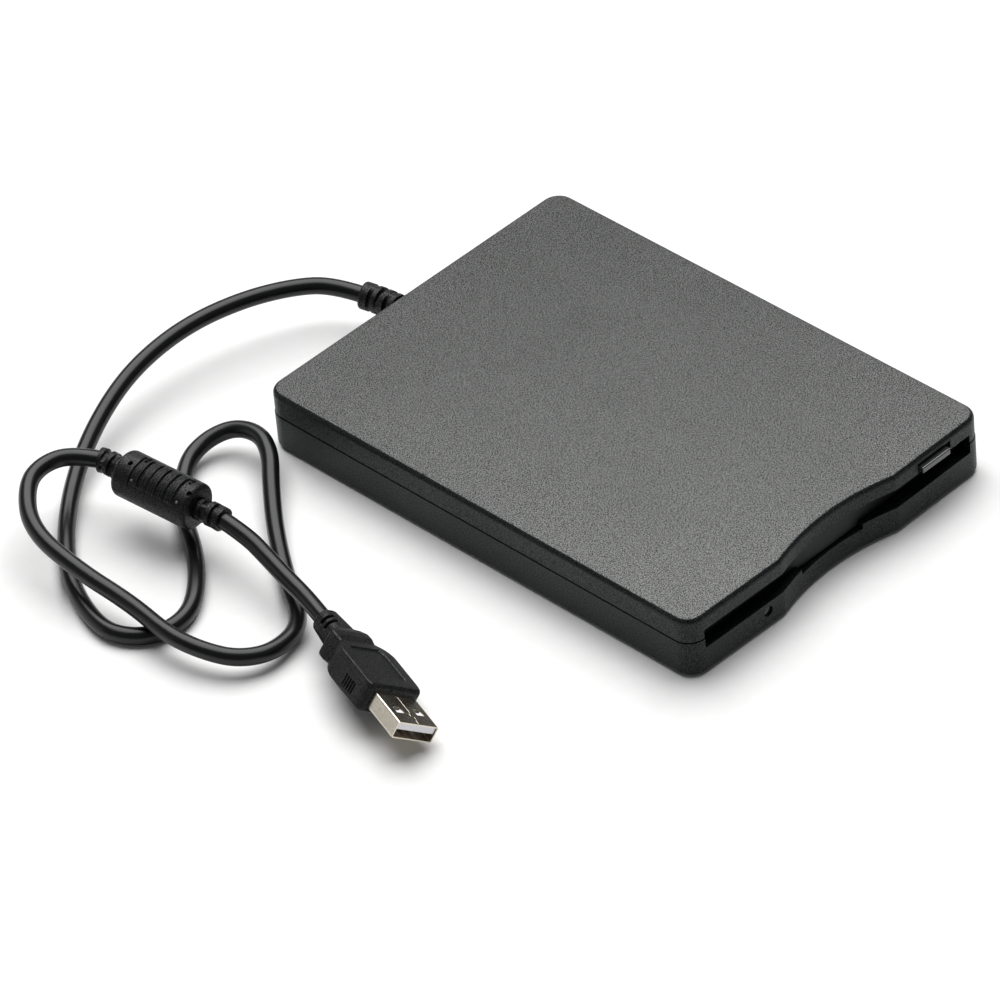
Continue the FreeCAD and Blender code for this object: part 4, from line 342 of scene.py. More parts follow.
def spread(tree, factor, low, high, start=0.0, stop=1.0):
    """Map a factor's range from start to stop onto low to high, and hold it there."""
    made = add(tree, "ShaderNodeMapRange", {
        "Value": factor, "From Min": start, "From Max": stop, "To Min": low, "To Max": high,
    })
    return made.outputs["Result"]


def between(tree, factor, low, high):
    """Mix of two colour sockets."""
    return add(tree, "ShaderNodeMix", {0: factor, 6: low, 7: high}, data_type="RGBA").outputs[2]


def grained_finish(name, low, high, size, depth, rough, metallic=0.0, gloss=0.5):
    """Moulded, milled or plated surface: fine grain in its colour and relief, broad wear in its roughness.

    Size is how wide a grain is and depth how high it stands, in metres.
    """
    material, tree, out = blank(name)
    fine = grain(tree, size)
    broad = grain(tree, WEAR_SIZE, 3.0)
    bump = add(tree, "ShaderNodeBump", {"Height": fine, "Distance": depth, "Strength": 0.8})
    body = add(tree, "ShaderNodeBsdfPrincipled", {
        "Base Color": ramp(tree, fine, low, high),
        "Roughness": spread(tree, broad, rough - 0.06, rough + 0.06),
        "Metallic": metallic,
        "Specular IOR Level": gloss,
        "Normal": bump.outputs["Normal"],
    })
    tree.links.new(body.outputs["BSDF"], out.inputs["Surface"])
    return material


def sparkled_finish(name, low, high, size, depth, rough, shine):
    """Spark-eroded plastic: peaks of the grain are lighter and shinier than its pits.

    Size and depth are a grain's width and height in metres. Shine is the gloss of pits and of peaks.
    """
    material, tree, out = blank(name)
    peaks = spread(tree, grain(tree, size, 1.5), 0.0, 1.0, 0.36, 0.64)
    broad = grain(tree, 0.012, 2.0)
    bump = add(tree, "ShaderNodeBump", {"Height": peaks, "Distance": depth, "Strength": 0.8})
    body = add(tree, "ShaderNodeBsdfPrincipled", {
        "Base Color": ramp(tree, peaks, low, high, 0.0, 1.0),
        "Roughness": spread(tree, broad, rough - 0.05, rough + 0.05),
        "Specular IOR Level": spread(tree, peaks, *shine),
        "Normal": bump.outputs["Normal"],
    })
    tree.links.new(body.outputs["BSDF"], out.inputs["Surface"])
    return material


def spark_textured_case(shades):
    """Case plastic: spark-eroded grain on the flat top, with a painted sheen that makes it lighter and
    glossier near the front, and satin sides.

    The mask is 1 on the flat top and 0 below it. The painted sheen rises from 0 at the rear to 1 at the near
    corner.
    """
    material, tree, out = blank("spark_textured_case")
    place = add(tree, "ShaderNodeTexCoord").outputs["Object"]
    height = add(tree, "ShaderNodeSeparateXYZ", {"Vector": place}).outputs["Z"]
    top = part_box("upper_shell")[1][2] - TOP_DEPTH
    mask = spread(tree, height, 0.0, 1.0, top - TOP_EDGE, top)
    # Painted sheen: from the rear to the near corner the top's grain colour is painted lighter and its gloss
    # is raised, standing in for the lamp's brighter reflection there.
    reach = add(tree, "ShaderNodeVectorMath", {0: place, 1: PAINTED_SHEEN_WAY}, operation="DOT_PRODUCT")
    painted_sheen = spread(tree, reach.outputs["Value"], 0.0, 1.0, PAINTED_SHEEN_FROM, PAINTED_SHEEN_TO)
    painted_sheen = add(tree, "ShaderNodeMath", {0: painted_sheen, 1: 1.3}, operation="POWER").outputs[0]
    peaks = spread(tree, grain(tree, CASE_GRAIN, 1.0), 0.0, 1.0, 0.33, 0.67)
    broad = spread(tree, grain(tree, 0.02, 2.0), -0.03, 0.03, 0.3, 0.7)
    # Grain colours of the top at the rear, and lighter ones at the near corner, where the lightening is
    # painted sheen.
    grain_without_sheen = ramp(tree, peaks, "#020202", "#515251", 0.0, 1.0)
    grain_with_painted_sheen = ramp(tree, peaks, shades.case_pits, shades.case_peaks, 0.0, 1.0)
    satin = ramp(tree, peaks, "#060808", shades.case_sides, 0.0, 1.0)
    textured = between(tree, painted_sheen, grain_without_sheen, grain_with_painted_sheen)
    rough = add(tree, "ShaderNodeMath", {0: spread(tree, mask, 0.42, 0.50), 1: broad}, operation="ADD")
    # The top's gloss: the grain's own, raised towards the near corner by the painted sheen.
    top_shine = add(tree, "ShaderNodeMath", {
        0: spread(tree, peaks, 0.04, 0.98), 1: spread(tree, painted_sheen, 0.95, 1.4),
    }, operation="MULTIPLY")
    side_shine = spread(tree, peaks, 0.10, 0.46)
    shine = add(tree, "ShaderNodeMix", {0: mask, 2: side_shine, 3: top_shine.outputs[0]}, data_type="FLOAT")
    bump = add(tree, "ShaderNodeBump", {
        "Height": peaks, "Distance": 0.00005, "Strength": spread(tree, mask, 0.35, 0.9),
    })
    body = add(tree, "ShaderNodeBsdfPrincipled", {
        "Base Color": between(tree, mask, satin, textured),
        "Roughness": rough.outputs[0],
        "Specular IOR Level": shine.outputs[0],
        "Specular Tint": between(tree, mask, colour("#f0fafa"), colour("#fafcfa")),
        "Normal": bump.outputs["Normal"],
    })
    tree.links.new(body.outputs["BSDF"], out.inputs["Surface"])
    return material


def finish_table():
    """Every material slot's finish, made once."""
    shades = bpy.context.scene.drive_shades
    return {
        # Spark-eroded ABS: a dry grey sparkle on the flat top, painted lighter and glossier towards the front
        # as a painted sheen, and near-black satin sides.
        "case_black": spark_textured_case(shades),
        # Smooth moulded ABS: an even dark grey with a low sheen, calmer than the case round it.
        "door_black": grained_finish(
            "smooth_flap", "#161818", shades.flap, 0.0006, 0.00001, 0.45, gloss=0.22,
        ),
        # Polished ABS: catches one bright streak along its rounded face.
        "button_black": grained_finish(
            "polished_button", "#2e2f30", shades.button, 0.0003, 0.000004, 0.18, gloss=1.0,
        ),
        # Moulded rubber: dead matt, with no highlight.
        "foot_rubber": grained_finish("foot_rubber", "#161617", "#1e1e1f", 0.0005, 0.00003, 0.85),
        # Black oxide on steel: dark, with a dull metal glint on its edges.
        "screw_black": grained_finish("black_oxide", "#232324", "#2c2c2d", 0.0004, 0.00001, 0.4, 0.7),
        # Zinc-plated sheet: pale, softly blurred mirror with a broad, cloudy spangle.
        "sheet_steel": grained_finish("zinc_sheet", "#b4b6b6", "#c6c8c8", 0.0015, 0.00001, 0.34, 1.0),
        # Turned and ground steel: bright, with narrow highlights along rods and shafts.
        "bright_steel": grained_finish("turned_steel", "#b9bab9", "#cfcfce", 0.0004, 0.000006, 0.22, 1.0),
        # Deep-drawn steel can: slightly greyer and softer than turned steel.
        "motor_metal": grained_finish("drawn_motor_can", "#a9abac", "#bfc0c0", 0.0008, 0.00001, 0.3, 1.0),
        # Plastic-bonded magnet: dark, dusty grey.
        "magnet_grey": grained_finish("bonded_magnet", "#2b2b2c", "#3a3a3b", 0.0003, 0.00002, 0.7),
        # Sintered bronze: warm and grainy, with an oily half-gloss.
        "bearing_brass": grained_finish(
            "sintered_bearing", "#9c7a3c", "#b8924c", 0.0002, 0.00002, 0.45, 1.0,
        ),
        # Enamelled copper wire: deep orange under a clear lacquer.
        "coil_copper": grained_finish("lacquered_copper", "#8a4520", "#b8642f", 0.0003, 0.00004, 0.3, 0.8),
        # Solder mask on a circuit board: dark green with a lacquer's gloss.
        "circuit_green": grained_finish("solder_mask", "#0d3b1c", "#135029", 0.0010, 0.00001, 0.3),
        # Moulded epoxy: charcoal with a faint sheen.
        "chip_black": grained_finish("chip_resin", "#18191a", "#232425", 0.0003, 0.00001, 0.55),
        # Acetal: milky white, slightly waxy.
        "plunger_white": grained_finish("white_acetal", "#d6d3c8", "#e2dfd5", 0.0005, 0.00001, 0.4),
        # Polyester film of the flat cable: cool white with a smooth gloss.
        "ribbon_white": grained_finish("flat_cable", "#d3d5d6", "#e2e4e5", 0.0008, 0.00001, 0.35),
        # Smoked acrylic: almost black, with a sharp highlight.
        "lens_dark": grained_finish("smoked_lens", "#101210", "#151815", 0.0006, 0.000004, 0.12),
        # Cast epoxy of the light: pale, clear-looking and glossy.
        "led_pale": grained_finish("clear_resin", "#cfcdb8", "#e0decb", 0.0005, 0.000004, 0.15),
        # Glass-filled plastic: charcoal with lighter fibre flecks.
        "carriage_black": grained_finish(
            "glass_filled_plastic", "#2b2b2c", "#3d3d3e", 0.0004, 0.00002, 0.5,
        ),
        # Lapped ceramic: smooth stone grey.
        "head_ceramic": grained_finish("head_ceramic", "#7c7a74", "#8d8b85", 0.0004, 0.000004, 0.2),
        # Extruded PVC jacket: black, with a soft highlight that runs along the lead.
        "cord_black": grained_finish(
            "cable_jacket", "#090a0a", shades.jacket, 0.0007, 0.000012, 0.30, gloss=0.38,
        ),
        # Spark-eroded soft PVC: matt black with a fine sparkle on its edges.
        "mould_black": sparkled_finish(
            "soft_overmould", "#060707", shades.overmould, MOULD_GRAIN, 0.00003, 0.42, (0.06, 0.52),
        ),
        # Nickel plate: a warm, clean mirror.
        "plug_steel": grained_finish("nickel_plate", "#c9c1b1", "#ddd6c8", 0.0005, 0.000004, 0.22, 1.0),
        # White PBT insulator: clean white with a slight sheen.
        "tongue_white": grained_finish("plug_insulator", "#f6f6fb", "#fdfdff", 0.0005, 0.00001, 0.45),
        # Broken-off moulding gates: pale grey scars in the matt plastic.
        "gate_mark": grained_finish("gate_mark", "#5a5c5c", "#6a6c6c", 0.0003, 0.00001, 0.6),
        # Gold flash over nickel: yellow and bright.
        "contact_gold": grained_finish("gold_contact", "#c79a45", "#dcb35c", 0.0004, 0.000004, 0.25, 1.0),
    }


def node_slots():
    """Material slot name of every node."""
    return {part["node"]: part["material_slot"] for part in frame["record"]["subparts"]}


def dress(piece, material):
    """Give a whole piece one material."""
    if piece.material_slots:
        for slot in piece.material_slots:
            slot.material = material
    else:
        piece.data.materials.append(material)


def finish(name):
    """The material made for a slot."""
    table = bpy.context.scene.drive_finishes
    return bpy.data.materials[table[name].material]


# ---- Lead ----------------------------------------------------------------------------------------
def lead_curve(name, route, radius):
    """Round cable on a smooth NURBS line through its control points.

    Its surface stands off the line by the bevel's depth of 1 times each point's radius. A curve's box is
    widened by the points' radius, so the points hold the real one.
    """
    curve = bpy.data.curves.new(name, "CURVE")
    curve.dimensions = "3D"
    curve.bevel_depth = 1.0
    curve.bevel_resolution = 8
    curve.resolution_u = 16
    curve.use_fill_caps = True
    spline = curve.splines.new("NURBS")
    spline.points.add(len(route) - 1)
    spline.points.foreach_set("co", np.hstack([np.array(route), np.ones((len(route), 1))]).ravel())
    spline.points.foreach_set("radius", np.full(len(route), radius))
    spline.order_u = 3
    spline.use_endpoint_u = True
    piece = bpy.data.objects.new(name, curve)
    bpy.context.scene.collection.objects.link(piece)
    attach(piece, "case")
    piece.data.materials.append(finish("cord_black"))
    return piece


def lay_lead(settings):
    """Both stretches of the lead; the frame's two cord tubes are hidden."""
    long_run = lead_curve("lead", LEAD_ROUTE, settings.radius)
    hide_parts("cord_tube_1")
    short_run = lead_curve("plug_lead", PLUG_ROUTE, settings.radius)
    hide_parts("cord_tube_2")


# Strain relief, in metres along it: base disc, grooves before each ring, and the collar's rounded end.
RELIEF_BASE_RADIUS = 0.0040
RELIEF_BASE_LONG = 0.0020
RELIEF_GROOVES = (0.0020, 0.0048, 0.0076, 0.0104)
RELIEF_GROOVE_WIDE = 0.0009
RELIEF_GROOVE_EDGE = 0.00030
RELIEF_END_LONG = 0.0009
RELIEF_END_FALL = 0.0006


def mould_strain_relief(settings):
    """Ribbed relief: base disc, three rings and a collar; webs bridge each groove at two sides, in turn.

    r = R - (R - core)(1 - |cos(a - i pi/2)|^6) in groove i, and R - f(1 - sqrt(1 - (d/e)^2)) at the end.
    """
    core, top = settings.relief_core, settings.relief_radius

    def radius(run, angle):
        into = np.clip((run - run.max()) / RELIEF_END_LONG + 1, 0, 1)
        past_base = smooth_step(run, RELIEF_BASE_LONG - 0.0001, RELIEF_BASE_LONG)
        base = RELIEF_BASE_RADIUS * (1 - past_base) + top * past_base
        cut = np.zeros(np.broadcast(run, angle).shape)
        for i, start in enumerate(RELIEF_GROOVES):
            web = np.abs(np.cos(angle - math.pi / 2 * (i % 2))) ** 6
            groove = band(run, start, start + RELIEF_GROOVE_WIDE, RELIEF_GROOVE_EDGE)
            cut = np.maximum(cut, groove * (1 - web))
        return base - (base - core) * cut - RELIEF_END_FALL * (1 - np.sqrt(1 - into ** 2))

    way = np.subtract(LEAD_ROUTE[1], LEAD_ROUTE[0])
    way /= np.linalg.norm(way)
    grid = bent_grid(settings.relief_start, Y_AXIS, LEAD_ROUTE[0], way, 260, 96, radius)
    piece = grid_object("strain_relief", grid, "mould_black")
    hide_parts("cord_boot")


# ---- Ferrite sleeve ------------------------------------------------------------------------------
# Marks on the barrel: places along it in metres, turns about it in degrees, with 90 on top.
SLEEVE_EDGE = 0.0013
GROOVE_COUNT = 6
GROOVE_HALF = 0.00018
GROOVE_TURNS = (26, 112)
HOOK_LONG = 0.0015
HOOK_TURNS = (104, 112)
TICK_RUN = (0.0010, 0.0016)
TICK_TURNS = (94, 118)
PANEL_TURNS = (30, 108)
PANEL_RISE = 0.00016
LINE_RISE = 0.00007
LINE_STEP = 0.00078
MOULD_HOLES = ((-0.0078, 73), (0.0104, 70))
HOLE_RADIUS = 0.00050
HOLE_DEPTH = 0.0009
# Scars of the moulding gates: low domes beside the grooves.
GATES = (("gate_mark_left", -0.0052), ("gate_mark_right", 0.0086))
GATE_TURN = 39
GATE_RADIUS = 0.00036
GATE_TALL = 0.00022
GATE_STAND = 0.00008
# Necks: gaps between the rings, in metres from the neck's tip.
NECK_GAPS = (0.0016, 0.0044, 0.0070)
NECK_GAP_WIDE = 0.0011
NECK_GAP_EDGE = 0.0002
# Each gap's webs are turned by this from the level, in radians.
NECK_WEB_TURN = 0.5
# Past the last ring the neck is slimmer by this share, and it ends inside the barrel.
NECK_SLIM_RUN = (0.0056, 0.0060)
NECK_SLIM = 0.25
NECK_REACH = 0.47


def sleeve_barrel(settings, angle, y):
    """Barrel radius: rounded ends, grooves over the top, a finely lined panel and small moulding marks.

    r = R - e(1 - sqrt(1 - (d/e)^2)) near the ends, minus the depths of grooves and marks.
    """
    half = settings.length / 2
    into = np.clip((np.abs(y) - half + SLEEVE_EDGE) / SLEEVE_EDGE, 0, 1)
    radius = settings.radius - SLEEVE_EDGE * (1 - np.sqrt(1 - into ** 2))
    turn = np.degrees((angle + math.pi) % FULL_TURN - math.pi)
    depth = np.zeros(np.broadcast(angle, y).shape)
    step = settings.groove_step
    reach = (GROOVE_COUNT - 1) / 2 * step
    for i in range(GROOVE_COUNT):
        place = i * step - reach + settings.groove_shift
        groove = band(y, place - GROOVE_HALF, place + GROOVE_HALF, GROOVE_HALF) * band(turn, *GROOVE_TURNS, 3)
        depth = np.maximum(depth, groove * np.interp(turn, [GROOVE_TURNS[0], 75], [0.35, 1.0]))
    for place in (settings.groove_shift - reach, settings.groove_shift + reach):
        hook = band(y, place, place + HOOK_LONG, 0.00015) * band(turn, *HOOK_TURNS, 2)
        tick = band(y, place + TICK_RUN[0], place + TICK_RUN[1], 0.00015) * band(turn, *TICK_TURNS, 2)
        depth = np.maximum(depth, np.maximum(hook, tick))
    inner = y - settings.groove_shift
    panel = band(inner, -reach, reach, 0.0001) * band(turn, *PANEL_TURNS, 3)
    lines = panel * np.sin(inner * FULL_TURN / LINE_STEP)
    radius = radius - settings.groove_depth * depth + PANEL_RISE * panel + LINE_RISE * lines
    for y_mark, a_mark in MOULD_HOLES:
        far = np.hypot(y - y_mark, np.radians(turn - a_mark) * settings.radius)
        radius = radius - HOLE_DEPTH * (1 - smooth_step(far, HOLE_RADIUS, HOLE_RADIUS + 0.00015))
    return radius


def leave_gate_marks(settings, axes, middle):
    """Half-sunk ellipsoids on the barrel: out h cos t + r sin t (side cos a + along sin a)."""
    turn = np.linspace(0, FULL_TURN, 16, endpoint=False)[None, :]
    tilt = np.linspace(0.02, math.pi - 0.02, 12)[:, None]
    spot = math.radians(GATE_TURN)
    out = np.array([math.cos(spot), 0, math.sin(spot)])
    side = np.array([-math.sin(spot), 0, math.cos(spot)])
    for name, y_mark in GATES:
        dome = np.cos(tilt)[..., None] * GATE_TALL * out
        dome = dome + (np.sin(tilt) * np.cos(turn))[..., None] * GATE_RADIUS * side
        dome = dome + (np.sin(tilt) * np.sin(turn))[..., None] * GATE_RADIUS * Y_AXIS
        dome = dome[::-1] + out * (settings.radius + GATE_STAND) + Y_AXIS * y_mark
        grid_object(name, dome @ axes.T + middle, None, "gate_mark")


def mould_necks(settings, axes, middle):
    """Ringed neck at each end of the sleeve, bent from the lead's direction to the sleeve's.

    Radius R at the rings and down to the core in the gaps, except at two webs half a turn apart.
    """
    top, core = settings.neck_radius, settings.neck_core

    def radius(run, angle):
        cut = np.zeros(np.broadcast(run, angle).shape)
        for i, start in enumerate(NECK_GAPS):
            web = np.abs(np.cos(angle - NECK_WEB_TURN - math.pi / 2 * (i % 2))) ** 14
            cut = np.maximum(cut, band(run, start, start + NECK_GAP_WIDE, NECK_GAP_EDGE) * (1 - web))
        edge = smooth_step(run, -0.0001, 0.0002)
        return core + (top - core) * edge * (1 - cut) * (1 - NECK_SLIM * smooth_step(run, *NECK_SLIM_RUN))

    along = axes[:, 1]
    reach = along * settings.length * NECK_REACH
    for name, route, end, way in (
        ("sleeve_neck_left", LEAD_ROUTE[:-3:-1], middle - reach, along),
        ("sleeve_neck_right", PLUG_ROUTE[:2], middle + reach, -along),
    ):
        enter = np.subtract(route[0], route[1])
        enter /= np.linalg.norm(enter)
        grid_object(name, bent_grid(route[0], enter, end, way, 160, 96, radius), "mould_black")


def mould_sleeve(settings):
    """Ferrite sleeve between the lead's two stretches: barrel, gate marks and necks."""
    left, right = np.array(LEAD_ROUTE[-1]), np.array(PLUG_ROUTE[0])
    axes = frame_of(left, right)
    middle = (left + right) / 2
    y = np.linspace(-settings.length / 2, settings.length / 2, 380)[:, None]
    angle = np.linspace(0, FULL_TURN, 220, endpoint=False)[None, :]
    radius = sleeve_barrel(settings, angle, y)
    local = np.stack([np.cos(angle) * radius, y + 0 * angle, np.sin(angle) * radius], axis=-1)
    barrel = grid_object("ferrite_sleeve_moulding", local @ axes.T + middle, "mould_black")
    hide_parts("ferrite_sleeve")
    leave_gate_marks(settings, axes, middle)
    mould_necks(settings, axes, middle)


# ---- Plug ----------------------------------------------------------------------------------------
# Neck and bulge of the grip: stations along it, with half width, half height and corner radius, in mm.
GRIP_STATIONS = [0.0, 0.4, 8.5, 8.8, 10.3, 12.4, 14.4]
GRIP_HALF_WIDTHS = [2.7, 3.1, 3.7, 4.7, 6.0, 6.05, 5.6]
GRIP_HALF_HEIGHTS = [2.7, 3.1, 3.4, 3.5, 3.75, 3.75, 3.5]
GRIP_CORNERS = [2.6, 2.6, 2.2, 1.2, 0.9, 0.8, 0.7]
# The rest is in metres, with places along the grip from its neck: head's flare and rounded end.
HEAD_CORNER = 0.0006
HEAD_FLARE = 0.006
END_AT_SIDES, END_AT_TOP = 0.0034, 0.0015
# Slots in the neck: their depth is a share of its size, and their turn from the top is in radians.
NECK_SLOTS = (0.0029, 0.0050)
NECK_SLOT_WIDE = 0.0007
NECK_SLOT_DEPTH = 0.24
NECK_SLOT_TURN = math.radians(47)
NECK_SLOT_SPAN = (0.50, 0.66)
# Sunk panel on top, and finger ribs on both sides.
PANEL_RUN = (0.0172, 0.0296)
PANEL_MARGIN = 0.0030
PANEL_DEPTH = 0.00028
RIB_START = 0.0245
RIB_STEP = 0.0010
RIB_COUNT = 5
RIB_WIDE = 0.0003
RIB_DEPTH = 0.0005
RIB_LOW, RIB_HIGH = -0.0023, 0.0005
# Soft edge of panel and ribs.
MARK_EDGE = 0.0003
# The bulge is a little slimmer on its left.
BULGE_RUN = (0.0095, 0.0135)
BULGE_EDGE = 0.0030
BULGE_SLIM = 0.08


def grip_sizes(y, settings):
    """Half width, half height and corner radius of the grip along its length.

    Straight runs between stations on the neck and the bulge, then the head's flare
    w = W - (W - w0)(1 - s)^2, all softened over 0.7 mm. The end rounds off by e(1 - sqrt(1 - (d/e)^2)).
    """
    stations = np.array(GRIP_STATIONS) / 1000
    share = np.clip((y - stations[-1]) / HEAD_FLARE, 0, 1)
    flare = 1 - (1 - share) ** 2
    sizes = []
    for values, full in (
        (GRIP_HALF_WIDTHS, settings.mould_width / 2),
        (GRIP_HALF_HEIGHTS, settings.mould_height / 2),
        (GRIP_CORNERS, HEAD_CORNER),
    ):
        values = np.array(values) / 1000
        line = np.interp(y, stations, values) + (full - values[-1]) * flare
        padded = np.pad(line, 3, mode="edge")
        sizes.append(np.convolve(padded, np.full(7, 1 / 7), mode="valid"))
    falls = []
    for end in (END_AT_SIDES, END_AT_TOP):
        into = np.clip((y - settings.mould_length + end) / end, 0, 1)
        falls.append(end * (1 - np.sqrt(1 - into ** 2)))
    return sizes[0] - falls[0] * 0.44, sizes[1] - falls[1], np.maximum(sizes[2] - falls[1] * 0.2, 0.0003)


def plug_axes(settings):
    """Plug's own axes (across, along, up) as columns."""
    return frame_of(PLUG_ROUTE[-2], PLUG_ROUTE[-1], settings.roll)


def mould_grip(settings):
    """Plug's moulded grip: slotted neck, bulge, waist and a square head with a sunk panel and ribs.

    Each row is a rounded rectangle, X (w - r) + r C and Z (h - r) + r S, less the depths of its marks.
    """
    y = np.linspace(0, settings.mould_length, 330)
    wide, tall, corner = [size[:, None] for size in grip_sizes(y, settings)]
    y = y[:, None]
    across, upward, face_x, face_z = round_ring(76, 44, 12)
    x = across * (wide - corner) + face_x * corner
    z = upward * (tall - corner) + face_z * corner
    inside = 1 - smooth_step(np.abs(x), wide - PANEL_MARGIN, wide - PANEL_MARGIN + MARK_EDGE)
    panel = band(y, *PANEL_RUN, MARK_EDGE) * inside * (np.abs(face_z) > 0.99)
    tilt = np.arctan2(x, z) - NECK_SLOT_TURN
    tilt = (tilt + math.pi / 2) % math.pi - math.pi / 2
    slots = sum(band(y, place, place + NECK_SLOT_WIDE, 0.0002) for place in NECK_SLOTS)
    slots = slots * (1 - smooth_step(np.abs(tilt), *NECK_SLOT_SPAN))
    places = RIB_START + np.arange(RIB_COUNT) * RIB_STEP
    ribs = sum(band(y, place, place + RIB_WIDE, 0.00016) for place in places)
    ribs = ribs * (np.abs(face_x) > 0.99) * band(z, RIB_LOW, RIB_HIGH, MARK_EDGE)
    shrink = 1 - NECK_SLOT_DEPTH * slots
    x = x * shrink - face_x * RIB_DEPTH * ribs
    z = z * shrink - np.sign(z) * PANEL_DEPTH * panel
    x = x * (1 - BULGE_SLIM * band(y, *BULGE_RUN, BULGE_EDGE) * (x < 0))
    local = np.stack([x, y + 0 * x, z], axis=-1)
    grid = local @ plug_axes(settings).T + np.array(PLUG_ROUTE[-1])
    # The head's lowest corner lies flat on the floor.
    grid[..., 2] = np.maximum(grid[..., 2], 0.0)
    piece = grid_object("plug_grip", grid, "mould_black", crease=28.0)
    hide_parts("plug_overmould")


def plug_strip(settings, name, path, half_wide, half_thick):
    """Thin strip of shell metal on the plug, given by its middle line in the plug's own axes.

    Ring of 12 points: middle + (a cos t, 0, b sin t), with a half width a for every row of the path.
    """
    turn = np.linspace(0, FULL_TURN, 12, endpoint=False)[None, :]
    half_wide = np.broadcast_to(half_wide, len(path))[:, None]
    side = half_wide * np.cos(turn)
    ring = np.stack([side, 0 * side, half_thick * np.sin(turn) + 0 * side], axis=-1)
    grid = (path[:, None] + ring) @ plug_axes(settings).T + np.array(PLUG_ROUTE[-1])
    grid_object(name, grid, "plug_steel")


# Middle line of the shell's folded seam with its dovetail: across and along from the grip, in mm.
SEAM_CORNERS = [
    [0, 0.3], [0, 7.4], [0.55, 7.7], [0.55, 8.7], [-0.35, 9.0], [-0.35, 10.0], [0, 10.3], [0, 11.8],
]
SEAM_HALF = 0.00006
SEAM_THICK = 0.00005
# Sprung tab in each window of the shell: where it starts along the shell, its length and its size.
TAB_START = 0.0054
TAB_LONG = 0.0010
TAB_HALF = 0.0009
TAB_THICK = 0.00006
TAB_SINK, TAB_DIP = 0.00010, 0.00030


def fold_shell_marks(settings):
    """Shell's folded seam, and the sprung tabs: half ellipses that dip by d s^2 towards their tips."""
    front, top = settings.mould_length, settings.shell_height / 2
    corners = np.array(SEAM_CORNERS) / 1000
    run = np.linspace(0, len(corners) - 1, 140)
    across = np.interp(run, np.arange(len(corners)), corners[:, 0])
    along = front + np.interp(run, np.arange(len(corners)), corners[:, 1])
    line = np.stack([across, along, np.full(len(run), top)], axis=-1)
    plug_strip(settings, "shell_seam", line, SEAM_HALF, SEAM_THICK)
    share = np.linspace(0, 0.98, 24)
    for name, side in (("window_tab_right", -1), ("window_tab_left", 1)):
        across = np.full(len(share), side * settings.shell_width / 4)
        along = front + TAB_START + TAB_LONG * share
        tab = np.stack([across, along, top - TAB_SINK - TAB_DIP * share ** 2], axis=-1)
        plug_strip(settings, name, tab, TAB_HALF * np.sqrt(1 - share ** 2), TAB_THICK)


# ---- Studio --------------------------------------------------------------------------------------
FLOOR_HALF = 6.0


def camera_axes(settings):
    """Right, up and back directions of the camera from its azimuth, elevation and roll."""
    a, e, r = settings.azimuth, settings.elevation, settings.roll
    back = Vector((math.sin(a) * math.cos(e), -math.cos(a) * math.cos(e), math.sin(e)))
    right = Vector((0, 0, 1)).cross(back).normalized()
    up = back.cross(right)
    return right * math.cos(r) + up * math.sin(r), up * math.cos(r) - right * math.sin(r), back


def add_camera(settings):
    """Long lens camera at its fitted place."""
    data = bpy.data.cameras.new("studio_camera")
    data.lens = settings.lens
    data.sensor_width = 36.0
    data.clip_start, data.clip_end = 0.05, 20.0
    camera = bpy.data.objects.new("studio_camera", data)
    turn = Matrix(camera_axes(settings)).transposed().to_4x4()
    camera.matrix_world = Matrix.Translation(settings.place) @ turn
    bpy.context.scene.collection.objects.link(camera)
    bpy.context.scene.camera = camera


def add_light(name, place, aim, size, power):
    """Rectangular area lamp that points at a place."""
    data = bpy.data.lights.new(name, "AREA")
    data.shape = "RECTANGLE"
    data.size, data.size_y = size
    data.energy = power
    lamp = bpy.data.objects.new(name, data)
    lamp.location = place
    lamp.rotation_euler = (Vector(aim) - Vector(place)).to_track_quat("-Z", "Y").to_euler()
    bpy.context.scene.collection.objects.link(lamp)


def set_stage(settings):
    """White floor, white surround, one broad lamp behind on the right and a dim card behind on the left."""
    mesh = bpy.data.meshes.new("studio_floor")
    corners = [(-FLOOR_HALF, -FLOOR_HALF, 0), (FLOOR_HALF, -FLOOR_HALF, 0)]
    corners += [(FLOOR_HALF, FLOOR_HALF, 0), (-FLOOR_HALF, FLOOR_HALF, 0)]
    mesh.from_pydata(corners, [], [(0, 1, 2, 3)])
    floor = bpy.data.objects.new("studio_floor", mesh)
    bpy.context.scene.collection.objects.link(floor)
    # Matt card: an even white that takes soft shadows.
    floor.data.materials.append(grained_finish("floor_paper", "#f4f4f3", "#f6f6f5", 0.004, 0.000001, 0.9))
    world = bpy.data.worlds.new("studio_surround")
    world.use_nodes = True
    backdrop = world.node_tree.nodes["Background"]
    backdrop.inputs["Color"].default_value = colour("#f7f8fb")
    backdrop.inputs["Strength"].default_value = 0.13
    bpy.context.scene.world = world
    add_light("key_panel", place=(0.48, 0.53, 1.60), aim=(0, 0, 0), size=(2.0, 2.0), power=53.0)
    add_light("left_card", place=(-1.10, 1.35, 0.42), aim=(-0.10, 0.0, 0.0), size=(1.2, 0.7), power=1.6)
    add_camera(settings)
    bpy.context.scene.view_settings.view_transform = "Standard"


# ---- Operators -----------------------------------------------------------------------------------
class DRIVE_OT_finishes(bpy.types.Operator):
    """Make every finish and give the frame's nodes theirs"""

    bl_idname = "drive.finishes"
    bl_label = "Make Finishes"

    def execute(self, context):
        table = context.scene.drive_finishes
        for slot, material in finish_table().items():
            entry = table.add()
            entry.name = slot
            entry.material = material.name
        for node, slot in node_slots().items():
            dress(frame["nodes"][node], finish(slot))
        return {"FINISHED"}


class DRIVE_OT_strain_relief(bpy.types.Operator):
    """Mould the lead's strain relief at the case"""

    bl_idname = "drive.strain_relief"
    bl_label = "Mould Strain Relief"

    def execute(self, context):
        mould_strain_relief(context.scene.drive_lead)
        return {"FINISHED"}


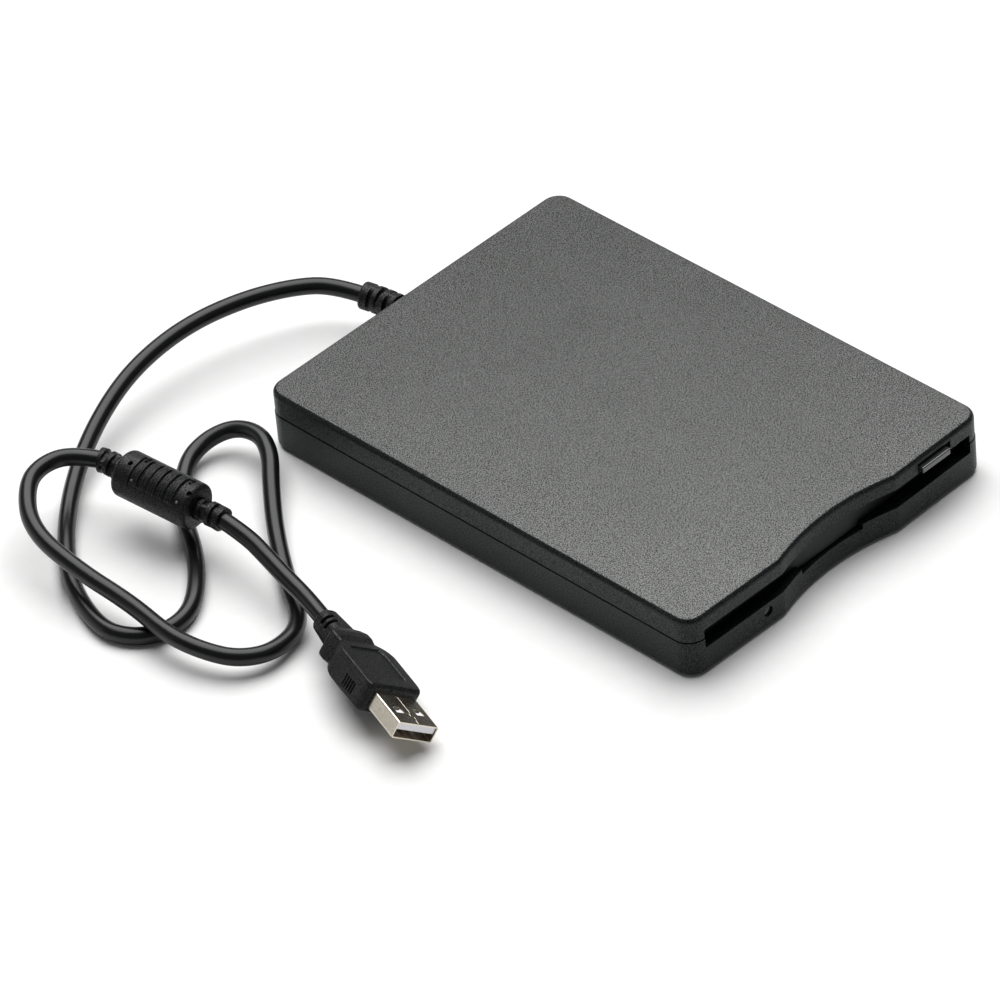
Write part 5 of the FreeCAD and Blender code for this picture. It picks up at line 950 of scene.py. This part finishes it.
class DRIVE_OT_sleeve(bpy.types.Operator):
    """Mould the ferrite sleeve and its necks"""

    bl_idname = "drive.sleeve"
    bl_label = "Mould Ferrite Sleeve"

    def execute(self, context):
        mould_sleeve(context.scene.drive_sleeve)
        return {"FINISHED"}


class DRIVE_OT_plug(bpy.types.Operator):
    """Mould the plug's grip and mark its folded shell"""

    bl_idname = "drive.plug"
    bl_label = "Mould Plug"

    def execute(self, context):
        mould_grip(context.scene.drive_plug)
        fold_shell_marks(context.scene.drive_plug)
        return {"FINISHED"}


class DRIVE_OT_lead(bpy.types.Operator):
    """Lay the lead along its route"""

    bl_idname = "drive.lead"
    bl_label = "Lay Lead"

    def execute(self, context):
        lay_lead(context.scene.drive_lead)
        return {"FINISHED"}


class DRIVE_OT_stage(bpy.types.Operator):
    """Set the floor, the lights and the camera"""

    bl_idname = "drive.stage"
    bl_label = "Set Stage"

    def execute(self, context):
        set_stage(context.scene.drive_studio)
        return {"FINISHED"}


class DRIVE_PT_panel(bpy.types.Panel):
    """Sizes and steps of the floppy drive"""

    bl_idname = "DRIVE_PT_panel"
    bl_label = "Floppy Drive"
    bl_space_type = "VIEW_3D"
    bl_region_type = "UI"
    bl_category = "Drive"

    def draw(self, context):
        for step in OPERATORS:
            self.layout.operator(step.bl_idname)
        for group in SETTINGS:
            settings = getattr(context.scene, group)
            for name in settings.__annotations__:
                self.layout.prop(settings, name)


OPERATORS = (
    DRIVE_OT_finishes, DRIVE_OT_strain_relief, DRIVE_OT_sleeve, DRIVE_OT_plug, DRIVE_OT_lead, DRIVE_OT_stage,
)
SETTINGS = {
    "drive_shades": ShadeSettings, "drive_lead": LeadSettings, "drive_sleeve": SleeveSettings,
    "drive_plug": PlugSettings, "drive_studio": StudioSettings,
}
CLASSES = (FinishName, *SETTINGS.values(), *OPERATORS, DRIVE_PT_panel)


def register():
    """Register the classes and give the scene their settings."""
    for group in CLASSES:
        bpy.utils.register_class(group)
    bpy.types.Scene.drive_finishes = bpy.props.CollectionProperty(type=FinishName)
    for name, group in SETTINGS.items():
        setattr(bpy.types.Scene, name, bpy.props.PointerProperty(type=group))


def unregister():
    """Take the settings and the classes away again."""
    for name in (*SETTINGS, "drive_finishes"):
        delattr(bpy.types.Scene, name)
    for group in reversed(CLASSES):
        bpy.utils.unregister_class(group)


def main():
    """Register and run every step."""
    register()
    bpy.ops.drive.finishes()
    bpy.ops.drive.strain_relief()
    bpy.ops.drive.sleeve()
    bpy.ops.drive.plug()
    bpy.ops.drive.lead()
    bpy.ops.drive.stage()


if __name__ == "__main__":
    main()
